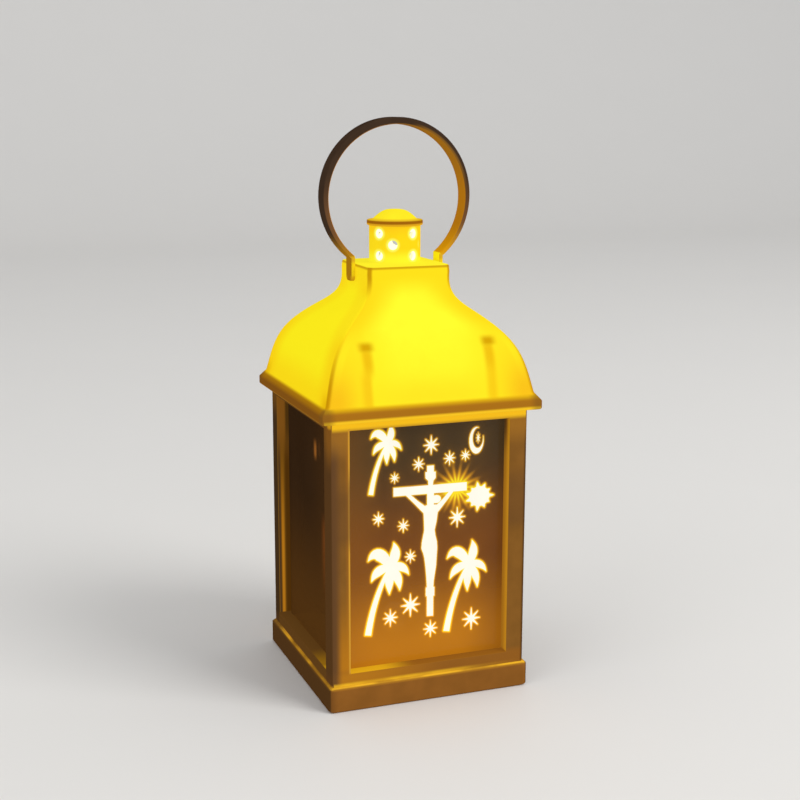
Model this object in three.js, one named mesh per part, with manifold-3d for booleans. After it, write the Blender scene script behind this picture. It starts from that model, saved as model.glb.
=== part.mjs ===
// Small battery lantern: a square windowed body under a translucent ogee roof,
// with a pierced chimney and a strip bail. Millimetres, +Z up.
// The origin is the middle of the underside, and the engraved pane faces -Y.

import * as THREE from 'three';
import { mergeVertices } from 'three/addons/utils/BufferGeometryUtils.js';
import Module from 'manifold-3d';

const wasm = await Module();
wasm.setup();

// Body and its windows
const bodyWidth = 50.4;
const bodyHeight = 64.85;
const bodyWall = 3.3;
const bodyCorner = 1.1;
const deckThickness = 1.0;
const pillarWidth = 4.8;
const windowSill = 2.95;
const windowHead = 2.15;
const paneThickness = 1.0;
const paneEndGap = 0.2;
const paneRibLength = 14.0;
const paneRibThickness = 1.0;
const paneRibHeight = 2.4;
const paneRibGap = 0.2;

// Plinth tray and the light deck that it carries
const plinthProud = 0.8;
const plinthHeight = 6.3;
const plinthChamfer = 0.5;
const trayWall = 2.6;
const trayFloor = 1.5;
const lightDeckThickness = 1.2;
const lightDeckGap = 0.2;
const supportPostRadius = 1.5;
const supportPostInset = 11.2;

// Battery well in the tray: three flat cells in a row
const cellRadius = 5.8;
const cellHeight = 5.4;
const cellBetween = 0.3;
const cellEndGap = 0.6;
const cellSideGap = 0.5;
const cellRowY = -6.0;
const cellStepHeight = 0.8;
const cellStepInset = 0.5;
const wellRib = 1.2;
const contactThickness = 0.3;
const contactPad = 8.0;
const contactTail = 2.0;
const contactTailReach = 3.2;
const contactLegWidth = 2.6;
const notchGap = 0.3;

// Battery door and its two screws
const doorThickness = 1.2;
const doorGap = 0.2;
const doorLandWidth = 0.6;
const doorScrewOffset = 1.6;
const doorEarMargin = 0.8;
const doorScrewHeadRadius = 1.3;
const doorScrewHeadHeight = 0.6;
const doorScrewRadius = 0.6;
const doorScrewLength = 3.8;
const doorBossRadius = 1.5;

// Roof, its eave and its neck
const eaveOverhang = 2.6;
const eaveLip = 2.45;
const eaveRound = 0.5;
const eaveSlope = 1.5;
const roofSetIn = 1.52;
const roofBulgeLean = 0.206;
const roofBulgeHandle = 8.5;
const roofShoulderInset = 8.7;
const roofShoulderRise = 17.05;
const roofShoulderLean = 0.867;
const roofShoulderHandleLow = 8.0;
const roofShoulderHandleHigh = 5.7;
const roofNeckHandle = 6.6;
const neckWidth = 21.1;
const neckFootRise = 28.1;
const neckTaper = 0.15;
const neckHeight = 1.8;
const neckRound = 0.6;
const roofWall = 1.6;
const roofRimWidth = 4.4;
const ridgeRadius = 0.7;
const neckCornerRadius = 1.6;
const topPlateThickness = 1.5;

// Posts inside the roof, which the roof screws bite into
const roofPostInsetX = 12.0;
const roofPostInsetY = 7.2;
const roofPostRadius = 1.7;
const pilotDepth = 8.0;

// Self-tapping screws of the body
const screwRadius = 0.8;
const screwGap = 0.2;
const screwHeadRadius = 1.6;
const screwHeadHeight = 1.0;
const screwBite = 5.0;
const screwCrownShare = 0.85;
const screwCrownRise = 0.4;
const screwTipShare = 0.5;
const baseScrewInset = 1.9;
const baseScrewRecess = 2.2;
const trayBossRadius = 2.7;

// Chimney tube, its air holes and its cap
const chimneyRadius = 6.35;
const chimneyWall = 1.2;
const chimneyHeight = 9.4;
const chimneyFlangeRadius = 7.6;
const chimneyFlangeThickness = 0.7;
const chimneyPlateGap = 0.2;
const airHoleRadius = 1.05;
const airHoleInnerAngle = 24.7;
const airHoleOuterAngle = 58.0;
const airHoleMiddle = 4.6;
const airHoleSpread = 2.7;
const capLipRadius = 6.85;
const capLipHeight = 1.0;
const capDomeRadius = 5.6;
const capDomeHeight = 2.5;
const capFootLean = 1.0;
const capFootRise = 0.7;
const capCrownFlat = 1.2;
const capCrownReach = 2.2;
const capSpigotLength = 1.8;
const capSpigotGap = 0.25;
const capWall = 1.1;
const capEdge = 0.25;

// Carrying ring: a hoop, thickest at its crown, with two flat tabs that turn on pins in the neck
const ringRadius = 19.0;
const ringStripWidth = 4.6;
const ringStripThickness = 0.9;
const ringHoopThickness = 1.3;
const ringInnerDrop = 0.4;
const ringRise = 16.1;
const ringTabGap = 0.5;
const ringTabBelowTop = 4.2;
const ringTabCorner = 1.2;
const pivotBelowTop = 2.75;
const pivotPinRadius = 0.85;
const pivotGap = 0.25;
const pivotPinReach = 2.4;

// Slide switch in the tray floor
const switchX = 0.0;
const switchY = 14.0;
const switchLength = 9.0;
const switchWidth = 4.6;
const switchHeight = 3.6;
const switchTravel = 2.0;
const sliderLength = 3.6;
const sliderWidth = 2.4;
const sliderHeight = 1.2;
const sliderGap = 0.2;
const knobLength = 2.4;
const knobWidth = 1.6;
const knobLift = 0.35;
const dishDepth = 0.7;
const dishMargin = 1.8;

// Light boards, diodes and resistors
const boardThickness = 1.0;
const baseBoardLength = 16.0;
const baseBoardWidth = 12.0;
const roofBoardLength = 18.0;
const roofBoardWidth = 16.0;
const diodeRadius = 2.5;
const diodeFlangeRadius = 2.9;
const diodeFlangeHeight = 1.0;
const diodeBodyHeight = 4.5;
const resistorRadius = 0.9;
const resistorLength = 4.2;
const resistorInset = 2.0;

// Wires
const wireRadius = 0.45;
const wireGap = 0.3;
const wireSides = 5;
const wireHoleRadius = 1.5;
const riserInset = 6.3;
const riserSpacing = 1.5;
const riserHoleSpacing = 3.4;
const deckHoleMargin = 3.0;
const blackHoleY = 5.0;
const switchHoleX = 4.0;
const wireEndInset = 1.2;
const wireSlack = 0.6;
const wireLoop = 2.0;
const wireArch = 0.4;
const switchTabInset = 2.1;
const switchLeadReach = 4.0;

// Facets
const roundSides = 32;
const smallSides = 16;
const pinSides = 12;
const tinySides = 10;
const cornerSteps = 3;
const tongueSteps = 4;
const diodeSteps = 4;
const capSteps = 6;
const profileSteps = 9;
const hoopSteps = 44;
const leadSteps = 26;
const riserSteps = 48;
const overcut = 1.0;

const bodyHalf = bodyWidth / 2;
const cavityHalf = bodyHalf - bodyWall;
const windowWidth = bodyWidth - 2 * pillarWidth;
const plinthHalf = bodyHalf + plinthProud;
const eaveZ = plinthHeight + bodyHeight;
const bodyDeckUnderside = eaveZ - deckThickness;
const cellSeat = doorThickness + contactThickness;
const lightDeckUnderside = cellSeat + cellHeight + contactThickness;
const lightDeckTop = lightDeckUnderside + lightDeckThickness;
const paneFoot = lightDeckTop;
const paneHead = bodyDeckUnderside - paneEndGap;
const eaveHalf = bodyHalf + eaveOverhang;
const roofFootHalf = eaveHalf - roofSetIn;
const roofFootZ = eaveZ + eaveLip + eaveSlope;
const neckHalf = neckWidth / 2;
const neckFootZ = roofFootZ + neckFootRise;
const roofTopZ = neckFootZ + neckHeight;
const neckTopHalf = neckHalf - neckTaper;
const pivotZ = roofTopZ - pivotBelowTop;
const chimneyTopZ = roofTopZ + chimneyHeight;

// Colours
const ivory = { color: 0xc98a3a, roughness: 0.45, metalness: 0 };
const litRoof = { color: 0xffdf2a, roughness: 0.4, metalness: 0, emissive: 0xffc81e };
const litCap = { color: 0xf4cf2c, roughness: 0.4, metalness: 0, emissive: 0xc98a10 };
const bailPlastic = { color: 0xa86a34, roughness: 0.4, metalness: 0 };
const clearPane = { color: 0x8a5428, roughness: 0.15, metalness: 0 };
const steel = { color: 0xb8b8b4, roughness: 0.3, metalness: 1 };
const springBrass = { color: 0xc9a35a, roughness: 0.35, metalness: 1 };
const boardGreen = { color: 0x2f6b3c, roughness: 0.6, metalness: 0 };
const warmDiode = { color: 0xffe9a8, roughness: 0.2, metalness: 0, emissive: 0xffc04a };
const resistorTan = { color: 0xd2b48c, roughness: 0.6, metalness: 0 };
const switchBlack = { color: 0x2a2a2c, roughness: 0.5, metalness: 0 };
const redWire = { color: 0xb3201c, roughness: 0.55, metalness: 0 };
const blackWire = { color: 0x1d1d1f, roughness: 0.55, metalness: 0 };

const lantern = new THREE.Group();

function toSolid(geometry) {
  const bare = geometry.index ? geometry.toNonIndexed() : geometry.clone();
  bare.deleteAttribute('normal');
  bare.deleteAttribute('uv');
  const merged = mergeVertices(bare, 1e-4);
  return new wasm.Manifold(new wasm.Mesh({
    numProp: 3,
    vertProperties: new Float32Array(merged.attributes.position.array),
    triVerts: new Uint32Array(merged.index.array),
  }));
}

function toGeometry(solid) {
  const mesh = solid.getMesh();
  const geometry = new THREE.BufferGeometry();
  const count = mesh.vertProperties.length / mesh.numProp;
  const positions = new Float32Array(count * 3);
  for (let i = 0; i < count; i++) {
    for (let k = 0; k < 3; k++) {
      positions[3 * i + k] = mesh.vertProperties[mesh.numProp * i + k];
    }
  }
  geometry.setAttribute('position', new THREE.BufferAttribute(positions, 3));
  geometry.setIndex(new THREE.BufferAttribute(new Uint32Array(mesh.triVerts), 1));
  return geometry;
}

function addPiece(name, shape, finish, place = [0, 0, 0]) {
  const geometry = shape.isBufferGeometry ? shape : toGeometry(shape);
  const mesh = new THREE.Mesh(geometry, new THREE.MeshStandardMaterial(finish));
  mesh.name = name;
  mesh.position.set(...place);
  lantern.add(mesh);
  return mesh;
}

function join(...solids) {
  return solids.reduce((whole, piece) => whole.add(piece));
}

function cut(whole, ...tools) {
  return tools.reduce((rest, tool) => rest.subtract(tool), whole);
}

// A plain block given by its size and the middle of its underside
function block(length, width, height, x = 0, y = 0, z = 0) {
  return toSolid(new THREE.BoxGeometry(length, width, height).translate(x, y, z + height / 2));
}

function upright(radius, height, x, y, z, sides = smallSides) {
  const rod = new THREE.CylinderGeometry(radius, radius, height, sides);
  return toSolid(rod.rotateX(Math.PI / 2).translate(x, y, z + height / 2));
}

function crossRod(radius, length, y, z, sides = smallSides) {
  const rod = new THREE.CylinderGeometry(radius, radius, length, sides);
  return toSolid(rod.rotateZ(Math.PI / 2).translate(0, y, z));
}

// One ring of a square section with rounded corners
function squareRing(half, radius) {
  const ring = [];
  const centre = half - radius;
  for (let corner = 0; corner < 4; corner++) {
    const turn = corner * Math.PI / 2;
    for (let step = 0; step <= cornerSteps; step++) {
      const angle = turn + step / cornerSteps * Math.PI / 2;
      const cornerX = Math.SQRT2 * centre * Math.cos(turn + Math.PI / 4);
      const cornerY = Math.SQRT2 * centre * Math.sin(turn + Math.PI / 4);
      ring.push([cornerX + radius * Math.cos(angle), cornerY + radius * Math.sin(angle)]);
    }
  }
  return ring;
}

// Closed solid through square sections, each with its half width, height and corner radius
function squareLoft(sections) {
  const rings = sections.map((s) => squareRing(s.half, s.radius).map(([x, y]) => [x, y, s.z]));
  const count = rings[0].length;
  const points = rings.flat();
  const faces = [];
  for (let level = 0; level < rings.length - 1; level++) {
    for (let i = 0; i < count; i++) {
      const a = level * count + i;
      const b = level * count + (i + 1) % count;
      faces.push(a, b, b + count, a, b + count, a + count);
    }
  }
  for (const [level, flip] of [[0, true], [rings.length - 1, false]]) {
    const middle = points.length;
    points.push([0, 0, sections[level].z]);
    for (let i = 0; i < count; i++) {
      const a = level * count + i;
      const b = level * count + (i + 1) % count;
      faces.push(middle, flip ? b : a, flip ? a : b);
    }
  }
  const geometry = new THREE.BufferGeometry();
  geometry.setAttribute('position', new THREE.Float32BufferAttribute(points.flat(), 3));
  geometry.setIndex(faces);
  return toSolid(geometry);
}

function squareBlock(half, bottom, top, radius) {
  return squareLoft([{ half, z: bottom, radius }, { half, z: top, radius }]);
}

function turned(profile, sides = roundSides) {
  const points = profile.map(([radius, z]) => new THREE.Vector2(radius, z));
  return toSolid(new THREE.LatheGeometry(points, sides).rotateX(Math.PI / 2));
}

// Body: a square tube with four windows and a deck under the roof
const windowFoot = plinthHeight + windowSill;
const windowHeight = bodyHeight - windowSill - windowHead;
const wallStandoff = cavityHalf - paneThickness - paneRibGap;
const cornerScrew = bodyHalf - baseScrewInset;
const roofPostX = bodyHalf - roofPostInsetX;
const roofPostY = bodyHalf - roofPostInsetY;
const fourCorners = [[-1, -1], [1, -1], [1, 1], [-1, 1]];

function fourRibs(foot) {
  const middle = wallStandoff - paneRibThickness / 2;
  return join(
    block(paneRibLength, paneRibThickness, paneRibHeight, 0, -middle, foot),
    block(paneRibLength, paneRibThickness, paneRibHeight, 0, middle, foot),
    block(paneRibThickness, paneRibLength, paneRibHeight, -middle, 0, foot),
    block(paneRibThickness, paneRibLength, paneRibHeight, middle, 0, foot),
  );
}

// Wires climb in the back left corner and pass the body's deck beside the roof board
const riserCorner = bodyHalf - riserInset;
const riserHoleY = roofBoardWidth / 2 + wireHoleRadius + wireGap;
const riserHoleX = -roofBoardLength / 4;

function makeBodyFrame() {
  let frame = squareBlock(bodyHalf, plinthHeight, eaveZ, bodyCorner);
  const cavityHeight = bodyDeckUnderside - plinthHeight + overcut;
  const acrossWall = bodyWidth + 2 * overcut;
  frame = cut(
    frame,
    block(2 * cavityHalf, 2 * cavityHalf, cavityHeight, 0, 0, plinthHeight - overcut),
    block(windowWidth, acrossWall, windowHeight, 0, 0, windowFoot),
    block(acrossWall, windowWidth, windowHeight, 0, 0, windowFoot),
  );
  frame = join(frame, fourRibs(bodyDeckUnderside - paneRibHeight));
  for (const [sideX, sideY] of fourCorners) {
    const hole = screwRadius + screwGap;
    frame = cut(
      frame,
      upright(hole, screwBite + 2 * overcut, sideX * cornerScrew, sideY * cornerScrew,
        plinthHeight - overcut, tinySides),
      upright(hole, deckThickness + 2 * overcut, sideX * roofPostX, sideY * roofPostY,
        bodyDeckUnderside - overcut, tinySides),
    );
  }
  for (const side of [-0.5, 0.5]) {
    const x = riserHoleX + side * riserHoleSpacing;
    frame = cut(frame, upright(wireHoleRadius, deckThickness + 2 * overcut, x, riserHoleY,
      bodyDeckUnderside - overcut, tinySides));
  }
  return frame;
}

addPiece('body_frame', makeBodyFrame(), ivory);

// Panes: the front and back ones run the full width, the side ones fit between them
function makePane(width) {
  return new THREE.BoxGeometry(width, paneThickness, paneHead - paneFoot)
    .translate(0, 0, (paneHead - paneFoot) / 2);
}

const longPane = 2 * (cavityHalf - paneEndGap);
const shortPane = 2 * (cavityHalf - paneThickness - paneEndGap);
const paneSeat = cavityHalf - paneThickness / 2;
addPiece('front_pane', makePane(longPane), clearPane, [0, -paneSeat, paneFoot]);
addPiece('back_pane', makePane(longPane), clearPane, [0, paneSeat, paneFoot]);
addPiece('left_pane', makePane(shortPane).rotateZ(Math.PI / 2), clearPane, [-paneSeat, 0, paneFoot]);
addPiece('right_pane', makePane(shortPane).rotateZ(Math.PI / 2), clearPane, [paneSeat, 0, paneFoot]);

// Plinth tray: floor, walls, battery well, corner bosses and the switch slot
const cellPitch = 2 * cellRadius + cellBetween;
const cellXs = [-cellPitch, 0, cellPitch];
const wellHalfLength = cellPitch + cellRadius + cellEndGap;
const wellHalfWidth = cellRadius + cellSideGap;
const doorHalfWidth = wellHalfWidth + doorLandWidth - doorGap;
const doorHalfLength = wellHalfLength + doorLandWidth - doorGap;
const doorScrewReach = wellHalfWidth + doorScrewOffset;
const doorEarRadius = doorScrewHeadRadius + screwGap + doorEarMargin;
const notchZ = lightDeckUnderside - contactThickness - notchGap;
const positiveTailX = cellXs[0];
const negativeLegX = wellHalfLength - (cellEndGap + contactLegWidth) / 2;
const tailEndY = cellRowY + wellHalfWidth + wellRib + contactTailReach - notchGap;
const knobSlotLength = knobLength + switchTravel + 2 * sliderGap;
const knobSlotWidth = knobWidth + 2 * sliderGap;

// The door's plan: a bar with an ear for the screw on each long side
function doorOutline(grow, foot, height) {
  const bar = block(2 * (doorHalfLength + grow), 2 * (doorHalfWidth + grow), height, 0, cellRowY, foot);
  const ears = [-1, 1].map((side) => upright(doorEarRadius + grow, height, 0,
    cellRowY + side * doorScrewReach, foot));
  return join(bar, ...ears);
}

function makeTray() {
  const corner = bodyCorner;
  const lowHalf = plinthHalf - plinthChamfer;
  let tray = squareLoft([
    { half: lowHalf, z: 0, radius: corner },
    { half: plinthHalf, z: plinthChamfer, radius: corner },
    { half: plinthHalf, z: plinthHeight - plinthChamfer, radius: corner },
    { half: lowHalf, z: plinthHeight, radius: corner },
  ]);
  const innerWidth = 2 * (plinthHalf - trayWall);
  tray = cut(tray, block(innerWidth, innerWidth, plinthHeight, 0, 0, trayFloor));
  const wellHeight = lightDeckUnderside - doorThickness;
  const wellLength = 2 * (wellHalfLength + wellRib);
  const wellWidth = 2 * (wellHalfWidth + wellRib);
  tray = join(tray, block(wellLength, wellWidth, wellHeight, 0, cellRowY, doorThickness));
  for (const side of [-1, 1]) {
    const postX = side * supportPostInset;
    const postY = cavityHalf - supportPostRadius - lightDeckGap;
    tray = join(
      tray,
      upright(doorBossRadius, wellHeight, 0, cellRowY + side * doorScrewReach, doorThickness),
      upright(supportPostRadius, lightDeckUnderside, postX, postY, 0),
    );
  }
  for (const [sideX, sideY] of fourCorners) {
    const boss = upright(trayBossRadius, plinthHeight, sideX * cornerScrew, sideY * cornerScrew, 0);
    const limit = squareBlock(lowHalf, 0, plinthHeight, corner);
    tray = join(tray, boss.intersect(limit));
  }
  tray = cut(
    tray,
    block(2 * wellHalfLength, 2 * wellHalfWidth, wellHeight + 2 * overcut, 0, cellRowY,
      doorThickness - overcut),
    doorOutline(doorGap, -overcut, doorThickness + overcut),
  );
  const ribY = cellRowY + wellHalfWidth + wellRib / 2;
  const notchHeight = lightDeckUnderside - notchZ + overcut;
  tray = cut(
    tray,
    block(contactTail + 2 * notchGap, wellRib + overcut, notchHeight, positiveTailX, ribY, notchZ),
    block(contactLegWidth + 2 * notchGap, wellRib + overcut, notchHeight, negativeLegX, ribY, notchZ),
  );
  for (const side of [-1, 1]) {
    const hole = doorScrewRadius + screwGap;
    tray = cut(tray, upright(hole, doorScrewLength + overcut, 0, cellRowY + side * doorScrewReach,
      doorThickness - overcut, tinySides));
  }
  for (const [sideX, sideY] of fourCorners) {
    const x = sideX * cornerScrew;
    const y = sideY * cornerScrew;
    tray = cut(
      tray,
      upright(screwHeadRadius + screwGap, baseScrewRecess + overcut, x, y, -overcut),
      upright(screwRadius + screwGap, plinthHeight + 2 * overcut, x, y, -overcut, tinySides),
    );
  }
  const slot = block(knobSlotLength, knobSlotWidth, trayFloor + 2 * overcut,
    switchX + switchTravel / 2, switchY, -overcut);
  const dish = block(knobSlotLength + 2 * dishMargin, knobSlotWidth + 2 * dishMargin,
    dishDepth + overcut, switchX + switchTravel / 2, switchY, -overcut);
  return cut(tray, slot, dish);
}

addPiece('base_tray', makeTray(), ivory);

// Light deck: closes the tray, carries the lower board and the feet of the panes
const blackHole = [baseBoardLength / 2 + deckHoleMargin, blackHoleY];
const switchHole = [switchHoleX, baseBoardWidth / 2 + deckHoleMargin];

function makeLightDeck() {
  let deck = squareBlock(cavityHalf - lightDeckGap, lightDeckUnderside, lightDeckTop, bodyCorner);
  deck = join(deck, fourRibs(lightDeckTop));
  for (const [x, y] of [blackHole, switchHole]) {
    deck = cut(deck, upright(wireHoleRadius, lightDeckThickness + 2 * overcut, x, y,
      lightDeckUnderside - overcut));
  }
  return deck;
}

addPiece('light_deck', makeLightDeck(), ivory);

// Battery door with its recessed screws
function makeDoor() {
  let door = doorOutline(0, 0, doorThickness);
  for (const side of [-1, 1]) {
    const y = cellRowY + side * doorScrewReach;
    door = cut(
      door,
      upright(doorScrewHeadRadius + screwGap, doorScrewHeadHeight + overcut, 0, y, -overcut),
      upright(doorScrewRadius + screwGap, doorThickness + 2 * overcut, 0, y, -overcut, tinySides),
    );
  }
  return door;
}

function makeScrew(headRadius, headHeight, shankRadius, length) {
  const tip = shankRadius * screwTipShare;
  return turned([
    [0, 0],
    [headRadius * screwCrownShare, 0],
    [headRadius, headHeight * screwCrownRise],
    [headRadius, headHeight],
    [shankRadius, headHeight],
    [shankRadius, headHeight + length - shankRadius],
    [tip, headHeight + length],
    [0, headHeight + length],
  ], tinySides);
}

addPiece('battery_door', makeDoor(), ivory);
const doorScrewShape = makeScrew(doorScrewHeadRadius, doorScrewHeadHeight, doorScrewRadius,
  doorScrewLength);
for (const [name, side] of [['front', -1], ['back', 1]]) {
  addPiece(`door_screw_${name}`, doorScrewShape, steel, [0, cellRowY + side * doorScrewReach, 0]);
}

// Button cells and their contacts
function makeCell() {
  const rim = cellRadius - cellStepInset;
  return turned([
    [0, 0],
    [rim, 0],
    [rim, cellStepHeight],
    [cellRadius, cellStepHeight + cellStepInset],
    [cellRadius, cellHeight],
    [0, cellHeight],
  ], smallSides);
}

const cellShape = makeCell();
cellXs.forEach((x, i) => {
  addPiece(`button_cell_${i + 1}`, cellShape, steel, [x, cellRowY, cellSeat]);
});

const upperContactZ = lightDeckUnderside - contactThickness;
const linkLength = cellPitch + contactPad;
const tailLength = tailEndY - cellRowY;
addPiece('contact_positive', join(
  block(contactPad, contactPad, contactThickness, cellXs[0], cellRowY, upperContactZ),
  block(contactTail, tailLength, contactThickness, positiveTailX, cellRowY + tailLength / 2,
    upperContactZ),
), springBrass);
addPiece('contact_link_upper', block(linkLength, contactPad, contactThickness,
  (cellXs[1] + cellXs[2]) / 2, cellRowY, upperContactZ), springBrass);
addPiece('contact_link_door', block(linkLength, contactPad, contactThickness,
  (cellXs[0] + cellXs[1]) / 2, cellRowY, doorThickness), springBrass);

function makeNegativeContact() {
  const legY = cellRowY + wellHalfWidth - contactThickness / 2;
  const legHeight = lightDeckUnderside - doorThickness;
  const footWidth = legY + contactThickness / 2 - cellRowY;
  const tail = tailEndY - legY;
  const footEnd = negativeLegX + contactLegWidth / 2;
  const footLength = footEnd - (cellXs[2] - contactPad / 2);
  return join(
    block(footLength, footWidth, contactThickness, footEnd - footLength / 2,
      cellRowY + footWidth / 2, doorThickness),
    block(contactLegWidth, contactThickness, legHeight, negativeLegX, legY, doorThickness),
    block(contactLegWidth, tail, contactThickness, negativeLegX, legY + tail / 2, upperContactZ),
  );
}

addPiece('contact_negative', makeNegativeContact(), springBrass);

// Slide switch: its case stands on the tray floor, its knob shows in the dish below
function makeSwitchCase() {
  const travelLength = sliderLength + switchTravel + 2 * sliderGap;
  return cut(
    block(switchLength, switchWidth, switchHeight, 0, 0, 0),
    block(travelLength, sliderWidth + 2 * sliderGap, sliderHeight + 2 * sliderGap + overcut, 0, 0,
      -overcut),
  );
}

const switchMiddleX = switchX + switchTravel / 2;
addPiece('switch_case', makeSwitchCase(), switchBlack, [switchMiddleX, switchY, trayFloor]);
addPiece('switch_knob', join(
  block(sliderLength, sliderWidth, sliderHeight, switchX, switchY, trayFloor + sliderGap / 2),
  block(knobLength, knobWidth, trayFloor - knobLift + sliderGap, switchX, switchY, knobLift),
), switchBlack);

// Lower and upper light boards
function makeDiode() {
  const profile = [[0, 0], [diodeFlangeRadius, 0], [diodeFlangeRadius, diodeFlangeHeight]];
  profile.push([diodeRadius, diodeFlangeHeight]);
  for (let i = 0; i <= diodeSteps; i++) {
    const angle = i / diodeSteps * Math.PI / 2;
    profile.push([diodeRadius * Math.cos(angle), diodeBodyHeight + diodeRadius * Math.sin(angle)]);
  }
  profile[profile.length - 1][0] = 0;
  return turned(profile, tinySides);
}

const diodeShape = makeDiode();
const boardSpecs = [
  { name: 'base', length: baseBoardLength, width: baseBoardWidth, z: lightDeckTop },
  { name: 'roof', length: roofBoardLength, width: roofBoardWidth, z: eaveZ },
];
for (const board of boardSpecs) {
  const top = board.z + boardThickness;
  addPiece(`${board.name}_light_board`,
    new THREE.BoxGeometry(board.length, board.width, boardThickness), boardGreen,
    [0, 0, board.z + boardThickness / 2]);
  addPiece(`${board.name}_light_diode`, diodeShape, warmDiode, [0, 0, top]);
  const resistor = new THREE.CylinderGeometry(resistorRadius, resistorRadius, resistorLength,
    pinSides);
  addPiece(`${board.name}_resistor`, resistor, resistorTan,
    [board.length / 2 - resistorInset, -resistorInset, top + resistorRadius]);
}

// Roof: the outer profile runs from the eave's foot to the top plate
function roofOutline() {
  const path = new THREE.Path();
  const lipTop = eaveZ + eaveLip;
  const shoulderHalf = roofFootHalf - roofShoulderInset;
  const shoulderZ = roofFootZ + roofShoulderRise;
  const leanX = Math.sin(roofShoulderLean);
  const leanZ = Math.cos(roofShoulderLean);
  path.moveTo(eaveHalf - eaveRound, eaveZ);
  path.lineTo(eaveHalf, eaveZ + eaveRound);
  path.lineTo(eaveHalf, lipTop - eaveRound);
  path.quadraticCurveTo(eaveHalf, lipTop, eaveHalf - eaveRound, lipTop + eaveRound / 2);
  path.lineTo(roofFootHalf, roofFootZ);
  path.bezierCurveTo(
    roofFootHalf - roofBulgeHandle * Math.sin(roofBulgeLean),
    roofFootZ + roofBulgeHandle * Math.cos(roofBulgeLean),
    shoulderHalf + roofShoulderHandleLow * leanX,
    shoulderZ - roofShoulderHandleLow * leanZ,
    shoulderHalf,
    shoulderZ,
  );
  path.bezierCurveTo(
    shoulderHalf - roofShoulderHandleHigh * leanX,
    shoulderZ + roofShoulderHandleHigh * leanZ,
    neckHalf,
    neckFootZ - roofNeckHandle,
    neckHalf,
    neckFootZ,
  );
  path.lineTo(neckTopHalf, roofTopZ - neckRound);
  path.quadraticCurveTo(neckTopHalf, roofTopZ, neckTopHalf - neckRound, roofTopZ);
  return path.getPoints(profileSteps);
}

function cornerRadiusAt(z) {
  const share = THREE.MathUtils.smoothstep(z, roofFootZ, neckFootZ);
  return THREE.MathUtils.lerp(ridgeRadius, neckCornerRadius, share);
}

function roofSections(outline) {
  return outline.map((p) => ({ half: p.x, z: p.y, radius: cornerRadiusAt(p.y) }));
}

// The hollow follows the outline at the wall's distance, above a straight rim that stands on the body
function hollowSections(outline) {
  const rimHalf = eaveHalf - roofRimWidth;
  const ceiling = roofTopZ - topPlateThickness;
  const inner = [];
  for (let i = 1; i < outline.length - 1; i++) {
    const along = outline[i + 1].clone().sub(outline[i - 1]).normalize();
    const half = outline[i].x - roofWall * along.y;
    const z = outline[i].y + roofWall * along.x;
    const last = inner[inner.length - 1];
    if (half < rimHalf && z < ceiling && (!last || z > last.z)) {
      inner.push({ half, z });
    }
  }
  const rim = [{ half: rimHalf, z: eaveZ - overcut }, { half: rimHalf, z: inner[0].z - roofWall }];
  const top = { half: inner[inner.length - 1].half, z: ceiling };
  return [...rim, ...inner, top].map((s) => ({ ...s, radius: cornerRadiusAt(s.z) / 2 }));
}

function makeRoof() {
  const outline = roofOutline();
  const outside = squareLoft(roofSections(outline));
  let roof = outside.subtract(squareLoft(hollowSections(outline)));
  for (const [sideX, sideY] of fourCorners) {
    const x = sideX * roofPostX;
    const y = sideY * roofPostY;
    const post = upright(roofPostRadius, roofTopZ - eaveZ, x, y, eaveZ);
    roof = join(roof, post.intersect(outside));
  }
  for (const [sideX, sideY] of fourCorners) {
    roof = cut(roof, upright(screwRadius + screwGap, pilotDepth + overcut, sideX * roofPostX,
      sideY * roofPostY, eaveZ - overcut, tinySides));
  }
  return cut(
    roof,
    upright(chimneyRadius + chimneyPlateGap, topPlateThickness + 2 * overcut, 0, 0,
      roofTopZ - topPlateThickness - overcut, roundSides),
    crossRod(pivotPinRadius + pivotGap, 2 * neckWidth, 0, pivotZ),
  );
}

addPiece('roof_shell', makeRoof(), litRoof);

// Chimney tube: held by a flange under the top plate, pierced all round
function makeChimney() {
  const inside = chimneyRadius - chimneyWall;
  const plateUnderside = roofTopZ - topPlateThickness;
  const flangeFoot = plateUnderside - chimneyFlangeThickness;
  let tube = turned([
    [inside, flangeFoot],
    [chimneyFlangeRadius, flangeFoot],
    [chimneyFlangeRadius, plateUnderside],
    [chimneyRadius, plateUnderside],
    [chimneyRadius, chimneyTopZ],
    [inside, chimneyTopZ],
    [inside, flangeFoot],
  ]);
  const middle = roofTopZ + airHoleMiddle;
  const pair = [middle - airHoleSpread, middle + airHoleSpread];
  const columns = [
    { angle: -airHoleOuterAngle, heights: pair },
    { angle: -airHoleInnerAngle, heights: [middle] },
    { angle: airHoleInnerAngle, heights: pair },
    { angle: airHoleOuterAngle, heights: [middle] },
  ];
  for (const column of columns) {
    for (const turn of [0, 180]) {
      for (const z of column.heights) {
        const drill = new THREE.CylinderGeometry(airHoleRadius, airHoleRadius, 2 * chimneyRadius,
          pinSides);
        drill.translate(0, -chimneyRadius, 0);
        drill.rotateZ(THREE.MathUtils.degToRad(column.angle + turn)).translate(0, 0, z);
        tube = tube.subtract(toSolid(drill));
      }
    }
  }
  return tube;
}

addPiece('chimney_tube', makeChimney(), litRoof);

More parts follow.
